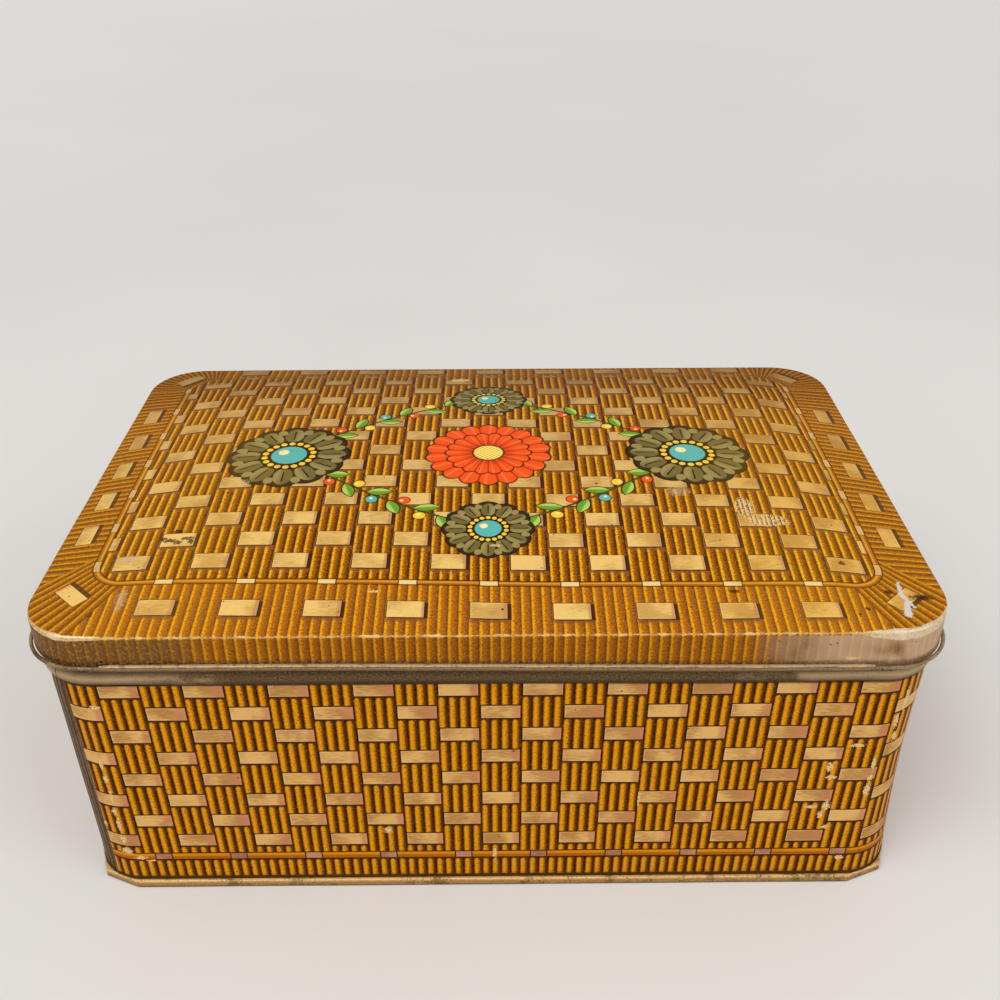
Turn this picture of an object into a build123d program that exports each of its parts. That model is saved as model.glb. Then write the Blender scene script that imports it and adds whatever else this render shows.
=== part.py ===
from build123d import *
import math
import os

os.makedirs("parts", exist_ok=True)

# A hinged biscuit tin in millimetres. The origin is the centre of the foot print on the table,
# +X runs along the long front, +Y to the hinge at the back and +Z up.

# Tinplate and the play between its layers
sheet = 0.4
layer_play = 0.05

# Body, measured over the outside of the walls
body_length = 245.4
body_width = 161.4
body_corner_radius = 15.7
wall_height = 84.5

# Rolled bead at the top of the walls
bead_height = 6.3
bead_proud = 1.4

# Lock seams at two opposite corners
seam_turn = 33.0            # degrees round the corner from the front, and from the back
seam_width = 4.0
groove_width = 0.4
seam_end_gap = 0.5          # the lock ends this far from the collar and from the base

# Neck collar inside the walls
collar_stand = 11.0
collar_lap = 12.5
collar_hem = 3.6
collar_joint = 0.3

# Base and its folded seam rim
rim_height = 2.8
rim_flat_proud = 0.6        # the two flats round each corner stand this far outside the walls
panel_recess = 2.8
panel_border = 9.0
panel_step = 0.9

# Lid
lid_overhang = 2.3          # the lid's fold edge stands this far outside the walls
lid_edge_gap = 0.7          # between the walls' top and the lid's rolled edge
lid_rest_gap = 0.1          # between the collar's top and the lid's underside
dome_rise = 6.8
dome_long_power = 4
fold_radius = 1.0

# Wire in the lid's edge
wire_radius = 0.55
wire_play = 0.05
wire_corner_slack = 0.5     # the wire's bends are this much tighter than the lid's edge
curl_opening = 45.0         # degrees between the curl's cut edge and the skirt

# Hinge straps
hinge_spacing = 150.0
strap_width = 12.0
strap_top_drop = 3.0        # the strap's leg ends this far below the collar's top
notch_side_play = 0.5
notch_top_play = 0.3

# Sizes worked out from the ones above
body_half_length = body_length / 2
body_half_width = body_width / 2
seam_low = sheet + layer_play
collar_top = wall_height + collar_stand
collar_bottom = wall_height - collar_lap
fold_height = collar_top + lid_rest_gap + sheet
curl_inner = wire_radius + wire_play
curl_outer = curl_inner + sheet
wire_height = wall_height + lid_edge_gap + curl_outer
lid_half_length = body_half_length + lid_overhang
lid_half_width = body_half_width + lid_overhang
lid_corner_radius = body_corner_radius + lid_overhang
panel_top = panel_recess + sheet
panel_highest = panel_top + panel_step
lock_bottom = panel_highest + seam_end_gap
lock_top = collar_bottom - seam_end_gap
layer_step = sheet + layer_play
collar_face = -sheet - layer_play
rim_proud = 3 * layer_step

front, right, back, left = -90.0, 0.0, 90.0, 180.0


def direction(angle):
    return (math.cos(math.radians(angle)), math.sin(math.radians(angle)))


def section_plane(x, y, angle):
    # The plane's own x points outwards at the angle, and its own y points up.
    out_x, out_y = direction(angle)
    return Plane(origin=(x, y, 0), x_dir=(out_x, out_y, 0), z_dir=(out_y, -out_x, 0))


def slab(x_low, x_high, z_low, z_high):
    centre = Pos((x_low + x_high) / 2, (z_low + z_high) / 2)
    return centre * Rectangle(x_high - x_low, z_high - z_low)


def side_run(section, half_length, half_width, radius, side, width=None, shift=0.0):
    # A straight run of a section along one side, or over a width about a shifted middle.
    out_x, out_y = direction(side)
    run = (half_length - radius) if abs(out_y) > 0.5 else (half_width - radius)
    length = 2 * run if width is None else width
    middle_x = out_x * half_length + abs(out_y) * shift
    middle_y = out_y * half_width + abs(out_x) * shift
    start_x = middle_x - out_y * length / 2
    start_y = middle_y + out_x * length / 2
    return extrude(section_plane(start_x, start_y, side) * section, amount=length)


def corner_centre(half_length, half_width, radius, angle):
    out_x, out_y = direction(angle)
    return (math.copysign(half_length - radius, out_x), math.copysign(half_width - radius, out_y))


def corner_run(section, half_length, half_width, radius, start, end):
    # A section turned round one corner, between two angles within that corner.
    x, y = corner_centre(half_length, half_width, radius, (start + end) / 2)
    out_x, out_y = direction(start)
    face = section_plane(x + out_x * radius, y + out_y * radius, start) * section
    return revolve(face, Axis((x, y, 0), (0, 0, 1)), revolution_arc=end - start)


def closed_run(section, half_length, half_width, radius):
    runs = []
    for side in (front, right, back, left):
        runs.append(side_run(section, half_length, half_width, radius, side))
        runs.append(corner_run(section, half_length, half_width, radius, side, side + 90))
    return runs[0].fuse(*runs[1:])


def rounded_sheet(inset, z_low, z_high):
    # A plate with the outline of the walls, drawn in by the inset.
    outline = RectangleRounded(
        body_length - 2 * inset, body_width - 2 * inset, body_corner_radius - inset
    )
    return Pos(0, 0, z_low) * extrude(outline, amount=z_high - z_low)


def rounded_wall(inset, z_low, z_high):
    # An upright band one sheet thick, its outer face drawn in by the inset.
    inside = rounded_sheet(inset + sheet, z_low - 1, z_high + 1)
    return rounded_sheet(inset, z_low, z_high) - inside


# Wall blanks

def bead_section():
    # The sheet's top edge rolled outwards and down into a flattened bead, open at its foot.
    top = wall_height
    middle = wall_height - bead_height / 2
    foot = wall_height - bead_height
    foot_thickness = 1.35 * sheet
    outer = ThreePointArc((-sheet, top), (bead_proud, middle), (2 * layer_play, foot))
    inner = ThreePointArc(
        (2 * layer_play, foot + foot_thickness),
        (bead_proud - sheet, middle),
        (0, top - foot_thickness),
    )
    foot_cut = Line(outer @ 1, inner @ 0)
    root = Polyline(inner @ 1, (-sheet, top - foot_thickness), outer @ 0)
    return make_face([outer, foot_cut, inner, root])


def wall_section():
    return slab(-sheet, 0, seam_low, wall_height - sheet) + bead_section()


def body_hook_section():
    # The walls' foot turned out and up, to be held in the base's folded edge.
    outer = rim_proud - layer_step
    foot = slab(-sheet, outer, seam_low, seam_low + sheet)
    leg = slab(outer - sheet, outer, seam_low, rim_height - layer_step)
    return foot + leg


def ring_sector(depth_inner, depth_outer, start, end):
    # A flat piece of ring about a corner's centre. Depths are counted in from the outer face.
    inner = body_corner_radius - depth_inner
    outer = body_corner_radius - depth_outer
    arc_in = CenterArc((0, 0), inner, start, end - start)
    arc_out = CenterArc((0, 0), outer, start, end - start)
    return make_face([arc_in, arc_out, Line(arc_in @ 0, arc_out @ 0), Line(arc_in @ 1, arc_out @ 1)])


def turn_of(length):
    # The angle that a length takes along the corner's outer face.
    return math.degrees(length / body_corner_radius)


def outer_hook(line):
    # The edge on the outside: it turns in at the seam line and runs back under itself.
    depth = 2 * layer_step + sheet
    fold = ring_sector(depth, sheet / 2, line, line + turn_of(sheet))
    tongue = ring_sector(depth, 2 * layer_step, line, line + turn_of(seam_width - layer_play))
    return fold + tongue


def inner_hook(line):
    # The edge on the inside: it steps in before the seam line and hooks into the other edge.
    edge = line - turn_of(groove_width)
    far = line + turn_of(seam_width)
    depth = 3 * layer_step + sheet
    step = ring_sector(depth, sheet / 2, edge - turn_of(sheet), edge)
    under = ring_sector(depth, 3 * layer_step, edge - turn_of(sheet), far + turn_of(sheet))
    fold = ring_sector(depth, layer_step, far, far + turn_of(sheet))
    near = line + turn_of(sheet + layer_play)
    tongue = ring_sector(layer_step + sheet, layer_step, near, far + turn_of(sheet))
    return step + under + fold + tongue


def lock_strip(flat, angle):
    x, y = corner_centre(body_half_length, body_half_width, body_corner_radius, angle)
    return Pos(x, y, lock_bottom) * extrude(flat, amount=lock_top - lock_bottom)


def wall_blank():
    # The front and the right side, from the front left seam round to the back right seam.
    body = (body_half_length, body_half_width, body_corner_radius)
    section = wall_section()
    first_line = front - seam_turn
    last_line = back - seam_turn
    last_edge = last_line - turn_of(groove_width)
    hook = body_hook_section()
    runs = [
        corner_run(section, *body, first_line, front),
        side_run(section, *body, front),
        corner_run(section, *body, front, right),
        side_run(section, *body, right),
        corner_run(section, *body, right, last_edge),
        side_run(hook, *body, front),
        side_run(hook, *body, right),
        lock_strip(outer_hook(first_line), first_line),
        lock_strip(inner_hook(last_line), last_line),
    ]
    return runs[0].fuse(*runs[1:])


# Neck collar

def neck_collar():
    inset = -collar_face
    strip = rounded_wall(inset, collar_bottom, collar_top)
    hem = rounded_wall(inset + layer_step, collar_top - collar_hem, collar_top)
    fold = rounded_sheet(inset, collar_top - sheet, collar_top)
    fold -= rounded_sheet(inset + layer_step + sheet, collar_top - 2 * sheet, collar_top + 1)
    collar = strip.fuse(hem, fold)
    cut_depth = 8 * sheet
    cut_height = collar_top - collar_bottom + 2
    joint = Pos(0, body_half_width, (collar_top + collar_bottom) / 2) * Box(
        collar_joint, 2 * cut_depth, cut_height
    )
    return collar - joint


# Base

def rim_outline(inset):
    # Straight along the sides, with two flats folded round each corner.
    side_reach = body_corner_radius + rim_proud - inset
    flat_reach = body_corner_radius + rim_flat_proud - inset
    lean = math.radians(22.5)
    past = (flat_reach - side_reach * math.cos(lean)) / math.sin(lean)
    middle = flat_reach / math.cos(lean)
    points = []
    for side in (front, right, back, left):
        x, y = corner_centre(body_half_length, body_half_width, body_corner_radius, side + 45)
        out_x, out_y = direction(side)
        next_x, next_y = direction(side + 90)
        mid_x, mid_y = direction(side + 45)
        points.append((x + side_reach * out_x + past * next_x, y + side_reach * out_y + past * next_y))
        points.append((x + middle * mid_x, y + middle * mid_y))
        points.append((x + side_reach * next_x + past * out_x, y + side_reach * next_y + past * out_y))
    return make_face(Polyline(*points, close=True))


def rim_plate(inset, z_low, z_high):
    return Pos(0, 0, z_low) * extrude(rim_outline(inset), amount=z_high - z_low)


def base_panel():
    inset = -collar_face
    panel = rounded_sheet(inset, panel_recess, panel_top)
    field_inset = inset + panel_border
    panel -= rounded_sheet(field_inset + sheet, panel_recess - 1, panel_top + 1)
    field = rounded_sheet(field_inset, panel_recess + panel_step, panel_highest)
    riser = rounded_wall(field_inset, panel_recess, panel_highest)
    inner_wall = rounded_wall(inset, 0, panel_top)
    land = rim_plate(0, 0, sheet) - rounded_sheet(inset + sheet, -1, sheet + 1)
    outer_wall = rim_plate(0, 0, rim_height) - rim_plate(sheet, -1, rim_height + 1)
    lip = rim_plate(0, rim_height - sheet, rim_height)
    lip -= rounded_sheet(-layer_play, 0, rim_height + 1)
    hook = slab(layer_play, layer_step, seam_low + layer_step, rim_height)
    body = (body_half_length, body_half_width, body_corner_radius)
    hooks = [side_run(hook, *body, side) for side in (front, right, back, left)]
    return panel.fuse(field, riser, inner_wall, land, outer_wall, lip, *hooks)


# Lid

lid_outline = (lid_half_length, lid_half_width, lid_corner_radius)


def dome_height(x, y):
    along = 1 - abs(x / lid_half_length) ** dome_long_power
    across = 1 - (y / lid_half_width) ** 2
    return fold_height + dome_rise * along * across


def space_under_dome():
    # Everything below the dome's surface, which runs on past the lid's edge.
    columns, rows = 24, 16
    reach_x = lid_half_length + 4 * sheet
    reach_y = lid_half_width + 4 * sheet
    grid = []
    for i in range(columns + 1):
        x = reach_x * (2 * i / columns - 1)
        ys = [reach_y * (2 * j / rows - 1) for j in range(rows + 1)]
        grid.append([(x, y, dome_height(x, y)) for y in ys])
    surface = Face.make_surface_from_array_of_points(grid, tol=0.01, min_deg=3, max_deg=5)
    return extrude(surface, amount=fold_height, dir=(0, 0, -1))


def lid_prism(inset, z_low):
    outline = RectangleRounded(
        2 * (lid_half_length - inset), 2 * (lid_half_width - inset), lid_corner_radius - inset
    )
    return Pos(0, 0, z_low) * extrude(outline, amount=fold_height + 2 * dome_rise - z_low)


def curl_section():
    # The skirt's foot curled outwards round the wire, and not quite closed.
    ring = Pos(curl_inner, wire_height) * (Circle(curl_outer) - Circle(curl_inner))
    start = direction(180)
    end = direction(180 - curl_opening)
    reach = 2 * curl_outer
    far = direction(180 - curl_opening / 2)
    gap = make_face(Polyline(
        (0, 0),
        (reach * start[0], reach * start[1]),
        (reach * 1.2 * far[0], reach * 1.2 * far[1]),
        (reach * end[0], reach * end[1]),
        close=True,
    ))
    skirt_foot = slab(-sheet, 0, wire_height, wire_height + curl_outer)
    return ring - Pos(curl_inner, wire_height) * gap + skirt_foot


def hinge_places():
    return (-hinge_spacing / 2, hinge_spacing / 2)


def lid_shell():
    space = space_under_dome()
    solid_lid = lid_prism(0, wire_height) & space
    top_edges = solid_lid.edges().filter_by(lambda edge: edge.center().Z > fold_height - 0.5)
    solid_lid = fillet(top_edges, radius=fold_radius)
    hollow = lid_prism(sheet, wire_height - 1) & (Pos(0, 0, -sheet) * space)
    inner_radius = max(fold_radius - sheet, 0.1)
    inner_edges = hollow.edges().filter_by(lambda edge: edge.center().Z > fold_height - sheet - 0.5)
    hollow = fillet(inner_edges, radius=inner_radius)
    shell = solid_lid - hollow
    curl = curl_section()
    curls = [side_run(curl, *lid_outline, side) for side in (front, right, back, left)]
    shell = shell.fuse(*curls)
    notch_height = 2 * (curl_outer + notch_top_play)
    notch_width = strap_width + 2 * notch_side_play
    for x in hinge_places():
        shell -= Pos(x, lid_half_width, wire_height) * Box(notch_width, 6 * curl_outer, notch_height)
    return shell


def lid_wire():
    half_length = lid_half_length + curl_inner
    half_width = lid_half_width + curl_inner
    bend = lid_corner_radius + curl_inner - wire_corner_slack
    return closed_run(Pos(0, wire_height) * Circle(wire_radius), half_length, half_width, bend)


# Hinge straps

def strap_section():
    # A loop round the wire, a foot over the walls' top and a leg up the collar's outer face.
    ring = Pos(curl_inner, wire_height) * (Circle(curl_outer) - Circle(curl_inner))
    leg_face = collar_face - lid_overhang
    foot = slab(leg_face, curl_inner, wire_height - curl_outer, wire_height - curl_inner)
    leg = slab(leg_face, leg_face + sheet, wire_height - curl_outer, collar_top - strap_top_drop)
    loop_gap = slab(curl_inner - 2 * curl_outer, 0, wire_height - curl_inner, wire_height - curl_inner / 2)
    return ring - loop_gap + foot + leg


def hinge_strap(x):
    return side_run(strap_section(), *lid_outline, back, width=strap_width, shift=x)


pieces = {"front_right_wall": wall_blank()}
pieces["back_left_wall"] = Rot(0, 0, 180) * pieces["front_right_wall"]
pieces["neck_collar"] = neck_collar()
pieces["base_panel"] = base_panel()
pieces["lid_shell"] = lid_shell()
pieces["lid_wire"] = lid_wire()
for name, place in zip(("hinge_strap_left", "hinge_strap_right"), hinge_places()):
    pieces[name] = hinge_strap(place)

for name, piece in pieces.items():
    export_step(piece, f"parts/{name}.step")
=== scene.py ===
import math
import bpy
import bmesh
import numpy as np
from mathutils import Matrix, Vector, noise

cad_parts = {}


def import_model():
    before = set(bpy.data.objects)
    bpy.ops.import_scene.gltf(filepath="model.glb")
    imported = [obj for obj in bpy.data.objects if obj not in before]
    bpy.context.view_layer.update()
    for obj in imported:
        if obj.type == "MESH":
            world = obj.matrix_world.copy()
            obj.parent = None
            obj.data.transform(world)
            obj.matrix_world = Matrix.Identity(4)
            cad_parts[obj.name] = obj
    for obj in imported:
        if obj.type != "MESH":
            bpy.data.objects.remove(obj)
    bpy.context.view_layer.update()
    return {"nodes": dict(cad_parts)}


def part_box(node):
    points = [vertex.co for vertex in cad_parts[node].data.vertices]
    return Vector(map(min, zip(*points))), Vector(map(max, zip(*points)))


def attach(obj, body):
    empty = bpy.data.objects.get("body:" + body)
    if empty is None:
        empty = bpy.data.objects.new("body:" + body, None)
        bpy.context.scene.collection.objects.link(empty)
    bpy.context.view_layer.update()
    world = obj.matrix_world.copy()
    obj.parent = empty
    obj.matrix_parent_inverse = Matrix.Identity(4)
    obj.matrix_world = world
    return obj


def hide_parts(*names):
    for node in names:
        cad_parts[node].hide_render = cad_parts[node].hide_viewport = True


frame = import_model()
print("frame loaded")

mm = 0.001

# Sizes shared by the pieces, in metres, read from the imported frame

sheet = 0.4 * mm
wirePlay = 0.05 * mm        # between the lid's wire and the curl round it
restGap = 0.1 * mm          # between the collar's top and the lid's underside

wireLow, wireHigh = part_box("lid_wire")
wireRadius = (wireHigh.z - wireLow.z) / 2
wireHeight = (wireHigh.z + wireLow.z) / 2
curlInner = wireRadius + wirePlay
curlOuter = curlInner + sheet
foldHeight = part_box("neck_collar")[1].z + restGap + sheet
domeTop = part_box("lid_shell")[1].z
lidHalfLength = wireHigh.x - wireRadius - curlInner
lidHalfWidth = wireHigh.y - wireRadius - curlInner


# Meshes

def walkOutline(halfLength, halfWidth, radius, startTurn, endTurn, spacing, cornerSteps):
    # Stations round a rounded rectangle between two directions in degrees, where -90 faces the front.
    # Gives the points, their outward directions and the length walked.
    points = []
    outwards = []

    def corner(turn, fromTurn, toTurn):
        middle = math.radians(turn)
        centreX = math.copysign(halfLength - radius, math.cos(middle))
        centreY = math.copysign(halfWidth - radius, math.sin(middle))
        steps = max(2, round(cornerSteps * (toTurn - fromTurn) / 90))
        for i in range(steps + 1):
            angle = math.radians(fromTurn + (toTurn - fromTurn) * i / steps)
            out = (math.cos(angle), math.sin(angle))
            points.append((centreX + radius * out[0], centreY + radius * out[1]))
            outwards.append(out)

    turn = startTurn
    while turn < endTurn - 1e-6:
        nextSide = 90 * math.floor(turn / 90 + 1e-9) + 90
        arcEnd = min(nextSide, endTurn)
        corner((turn + arcEnd) / 2, turn, arcEnd)
        if arcEnd == nextSide and arcEnd < endTurn:
            angle = math.radians(arcEnd)
            out = (round(math.cos(angle)), round(math.sin(angle)))
            run = (halfLength - radius) if out[1] else (halfWidth - radius)
            steps = max(2, round(2 * run / spacing))
            startX, startY = points[-1]
            for i in range(1, steps):
                step = 2 * run * i / steps
                points.append((startX - out[1] * step, startY + out[0] * step))
                outwards.append(out)
        turn = arcEnd
    points = np.array(points)
    outwards = np.array(outwards, float)
    gaps = np.hypot(*np.diff(points, axis=0).T)
    return points, outwards, np.concatenate([[0], np.cumsum(gaps)])


class Tinwork:
    # Gathers grids of points into one mesh, with the print's place on each point.
    def __init__(self):
        self.points = []
        self.places = []
        self.faces = []
        self.finishes = []

    def grid(self, points, places, finishes, closedRings=False, closedStations=False, poles=False,
             capped=None):
        # points[ring][station]; finishes has a material number for each step between rings.
        rings, stations = points.shape[:2]
        first = len(self.points)
        self.points.extend(points.reshape(-1, 3).tolist())
        self.places.extend(places.reshape(-1, 3).tolist())
        for i in range(rings if closedRings else rings - 1):
            for j in range(stations if closedStations else stations - 1):
                near = first + i * stations
                far = first + (i + 1) % rings * stations
                beside = (j + 1) % stations
                self.faces.append([near + j, near + beside, far + beside, far + j])
                self.finishes.append(finishes[i])
        if poles:
            for ring, finish in ((0, finishes[0]), (rings - 1, finishes[-1])):
                pole = len(self.points)
                self.points.append(points[ring].mean(axis=0).tolist())
                self.places.append(places[ring].mean(axis=0).tolist())
                for j in range(stations):
                    edge = (first + ring * stations + j, first + ring * stations + (j + 1) % stations)
                    self.faces.append([pole, *edge])
                    self.finishes.append(finish)
        if capped is not None:
            for station in (0, stations - 1):
                self.faces.append([first + i * stations + station for i in range(rings)])
                self.finishes.append(capped)

    def build(self, name, materials):
        mesh = bpy.data.meshes.new(name)
        mesh.from_pydata(self.points, [], self.faces)
        attribute = mesh.attributes.new("printPlace", "FLOAT_VECTOR", "POINT")
        attribute.data.foreach_set("vector", np.array(self.places, np.float32).ravel())
        mesh.polygons.foreach_set("material_index", self.finishes)
        for material in materials:
            mesh.materials.append(material)
        shape = bmesh.new()
        shape.from_mesh(mesh)
        bmesh.ops.recalc_face_normals(shape, faces=shape.faces)
        shape.to_mesh(mesh)
        shape.free()
        mesh.shade_smooth()
        mesh.set_sharp_from_angle(angle=math.radians(38))
        return addThing(name, mesh)


def addThing(name, data):
    # Puts a mesh, a light or a camera in the scene.
    thing = bpy.data.objects.new(name, data)
    bpy.context.scene.collection.objects.link(thing)
    return thing


def soft(x, y, z, size, seed=0.0):
    # Smooth noise between about -1 and 1, with lumps of the given size.
    return noise.noise(Vector((x / size + seed, y / size - seed, z / size + 0.37 * seed)))


def lumps(lengths, size, seed, height=0.0):
    # The same along a sheet.
    return np.array([soft(length, 0, height, size, seed) for length in lengths])


def eased(share):
    return share * share * (3 - 2 * share)


# Shader nodes

class Wire:
    # A socket that takes part in sums: each operator adds the Math node it stands for.
    def __init__(self, bench, socket):
        self.bench = bench
        self.socket = socket

    def __rsub__(self, other):
        return maths("SUBTRACT", other, self)

    def __neg__(self):
        return self * -1

    def __abs__(self):
        return maths("ABSOLUTE", self)


for operator, operation in (("add", "ADD"), ("radd", "ADD"), ("sub", "SUBTRACT"), ("mul", "MULTIPLY"),
                            ("rmul", "MULTIPLY"), ("truediv", "DIVIDE"), ("mod", "FLOORED_MODULO"),
                            ("lt", "LESS_THAN"), ("gt", "GREATER_THAN")):
    setattr(Wire, f"__{operator}__", lambda one, other, kind=operation: maths(kind, one, other))


class Bench:
    # Where one material's nodes are made.
    def __init__(self, name):
        self.material = bpy.data.materials.new(name)
        self.material.use_nodes = True
        self.tree = self.material.node_tree
        self.tree.nodes.clear()

    def make(self, kind, settings=None, inputs=None, output=0):
        node = self.tree.nodes.new(kind)
        for key, value in (settings or {}).items():
            if key == "stops":
                elements = node.color_ramp.elements
                while len(elements) < len(value):
                    elements.new(1.0)
                for element, (place, tone) in zip(elements, value):
                    element.position = place
                    element.color = (*tone, 1)
            else:
                setattr(node, key, value)
        for key, value in (inputs or {}).items():
            if isinstance(value, Wire):
                self.tree.links.new(value.socket, node.inputs[key])
            elif value is not None:
                if isinstance(value, tuple) and len(value) == 3 and node.inputs[key].type == "RGBA":
                    value = (*value, 1)
                node.inputs[key].default_value = value
        return Wire(self, node.outputs[output]) if node.outputs else node

    def finish(self, tone, rough, metallic=0.0, relief=None, more=None):
        # The Principled shader: links where a value is a wire, constants set on the socket.
        inputs = {"Base Color": tone, "Roughness": rough, "Metallic": metallic, **(more or {})}
        if relief is not None:
            inputs["Normal"] = self.make("ShaderNodeBump", None, {"Height": relief, "Distance": 1.0 * mm})
        shader = self.make("ShaderNodeBsdfPrincipled", None, inputs)
        self.make("ShaderNodeOutputMaterial", None, {"Surface": shader})
        return self.material


def maths(operation, *values):
    wire = next(value for value in values if isinstance(value, Wire))
    return wire.bench.make("ShaderNodeMath", {"operation": operation}, dict(enumerate(values)))


def fract(value):
    return maths("FRACT", value)


def least(a, b):
    return maths("MINIMUM", a, b)


def most(a, *others):
    for other in others:
        a = maths("MAXIMUM", a, other)
    return a


def root(a, b):
    return maths("SQRT", a * a + b * b)


def rise(value, low, high):
    # 0 at low and 1 at high, smoothly; low may be the larger.
    limits = {"Value": value, "From Min": low, "From Max": high}
    return value.bench.make("ShaderNodeMapRange", {"interpolation_type": "SMOOTHSTEP"}, limits)


def within(value, half, blur=0.12):
    # 1 where the value lies within half of zero.
    return rise(abs(value), half + blur, half - blur)


def blend(a, b, factor):
    # A number that goes from a to b.
    return a + (b - a) * factor


def nearest(value, pitch):
    # The place from the nearest of marks that stand a pitch apart.
    return (value + pitch / 2) % pitch - pitch / 2


def colour(a, b, factor, mode="MIX"):
    settings = {"data_type": "RGBA", "blend_type": mode}
    return factor.bench.make("ShaderNodeMix", settings, {0: factor, 6: a, 7: b}, output=2)


def layers(painted, *coats):
    # Lays inks over what is painted, each where its mask is 1.
    for tone, mask in coats:
        painted = colour(painted, tone, mask)
    return painted


def ramp(value, stops):
    return value.bench.make("ShaderNodeValToRGB", {"stops": stops}, {0: value})


def vector(x, y):
    return x.bench.make("ShaderNodeCombineXYZ", None, {0: x, 1: y, 2: 0.0})


def vectors(operation, a, b, output=0):
    return a.bench.make("ShaderNodeVectorMath", {"operation": operation}, {0: a, 1: b}, output)


def dot(a, b):
    return vectors("DOT_PRODUCT", a, b, output="Value")


def mottle(place, scale, detail=2.0, roughness=0.5):
    inputs = {"Vector": place, "Scale": scale, "Detail": detail, "Roughness": roughness}
    return place.bench.make("ShaderNodeTexNoise", None, inputs)


def roundedBox(x, y, halfLength, halfWidth, radius):
    # Distance outside a rounded rectangle, negative inside it.
    overX = abs(x) - (halfLength - radius)
    overY = abs(y) - (halfWidth - radius)
    outside = root(most(overX, 0.0), most(overY, 0.0))
    return outside + least(most(overX, overY), 0.0) - radius


def ink(red, green, blue):
    # A colour written as it looks, 0 to 255, in the linear values that a shader takes.
    shares = (value / 255 for value in (red, green, blue))
    return tuple(share / 12.92 if share < 0.0405 else ((share + 0.055) / 1.055) ** 2.4 for share in shares)


# The printed weave. Places are in millimetres in the print's own plane.

def readPlace(bench, count=2):
    # The print's place at a point: along, across or up, and a third measure where a piece has one.
    place = bench.make("ShaderNodeAttribute", {"attribute_name": "printPlace"}, None, output="Vector")
    return place, *(dot(place, axis) for axis in ((1.0, 0.0, 0.0), (0.0, 1.0, 0.0), (0.0, 0.0, 1.0))[:count])


def weave(u, v, size):
    # Where a point lies in the weave: its place from the nearest strip's middle, across its column
    # of canes, and how far it is below the strip above it and above the strip below it.
    column = (u - size["columnMiddle"]) / size["columnPitch"] + 0.5
    index = maths("FLOOR", column)
    across = column - index
    row = (v - size["rowMiddle"]) / size["rowPitch"] + index
    step = row - 2 * maths("ROUND", row * 0.5)
    stripU = (across - 0.5) * size["columnPitch"]
    stripV = step * size["rowPitch"]
    below = ((-step) % 2.0) * size["rowPitch"] - size["stripHeight"] / 2
    above = (step % 2.0) * size["rowPitch"] - size["stripHeight"] / 2
    beside = ((step % 2.0) - 1) * size["rowPitch"]      # height from the strip in the column to the left
    return {"u": stripU, "v": stripV, "across": across, "below": below, "above": above, "beside": beside}


def strip(under, u, v, halfLength, halfHeight, inks, grain, look, present=1.0, beside=None):
    # Paints a pale strip over what is under it: its shadow, a dark outline, a light edge and a worn end.
    # beside is the place from the strip in the next column, whose shadow reaches into this one.
    def shadow(x, y):
        return most(abs(x - look["shadowX"]) - halfLength, abs(y + look["shadowY"]) - halfHeight)

    cast = shadow(u, v)
    if beside:
        cast = least(cast, shadow(*beside))
    near = most(abs(u) - halfLength, abs(v) - halfHeight)
    end = rise(u + grain * look["endRagged"], halfLength - look["end"], halfLength - look["end"] * 0.35)
    pale = layers(inks["strip"], (inks["stripDeep"], grain),
                  (inks["stripEdge"], rise(near, -0.4, -0.24) * 0.3), (inks["stripEnd"], end * 0.75))
    return layers(under, (inks["shadow"], rise(cast, look["blur"], -look["blur"]) * present * 0.9),
                  (inks["outline"], rise(near, look["outline"] + 0.09, look["outline"] - 0.12) * present),
                  (pale, rise(near, 0.08, -0.08) * present))


lidPrint = {
    "columnPitch": 11.1, "columnMiddle": -0.1, "rowPitch": 10.02, "rowMiddle": -4.52,
    "stripLength": 9.6, "stripHeight": 6.2, "backHeight": 5.2, "canes": 4, "lowestStrip": -61.0,
    "frameHalfLength": 109.5, "frameHalfWidth": 67.7, "frameMiddle": 4.2, "frameRadius": 9.5,
    "frameShift": 0.6, "frameCane": 0.95, "tieHalfLength": 2.4, "sideTieMiddle": 3.4,
    "borderFront": -74.0, "borderBack": 78.2, "borderSide": 117.4,
    "borderSideMiddle": 1.0, "borderSidePitch": 19.5, "sideStrips": 5,
    "borderStrip": 9.9, "frontHeight": 6.0, "rearHeight": 4.8, "sideHeight": 4.6,
    "cornerFront": (113.0, -67.6), "cornerBack": (111.0, 72.5),
    "borderCane": 2.775, "sideCane": 2.77,
    # Where the canes of a corner fan out from, the turns that they span in degrees, and how many there are
    "fanFront": (83.0, 28.35, 43.2, 66.7, 9), "fanBack": (100.0, 58.35, 0.0, 90.0, 16),
    "strip": {"outline": 0.22, "shadowX": 1.1, "shadowY": 0.45, "blur": 0.18, "end": 1.0, "endRagged": 0.5},
}

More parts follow.
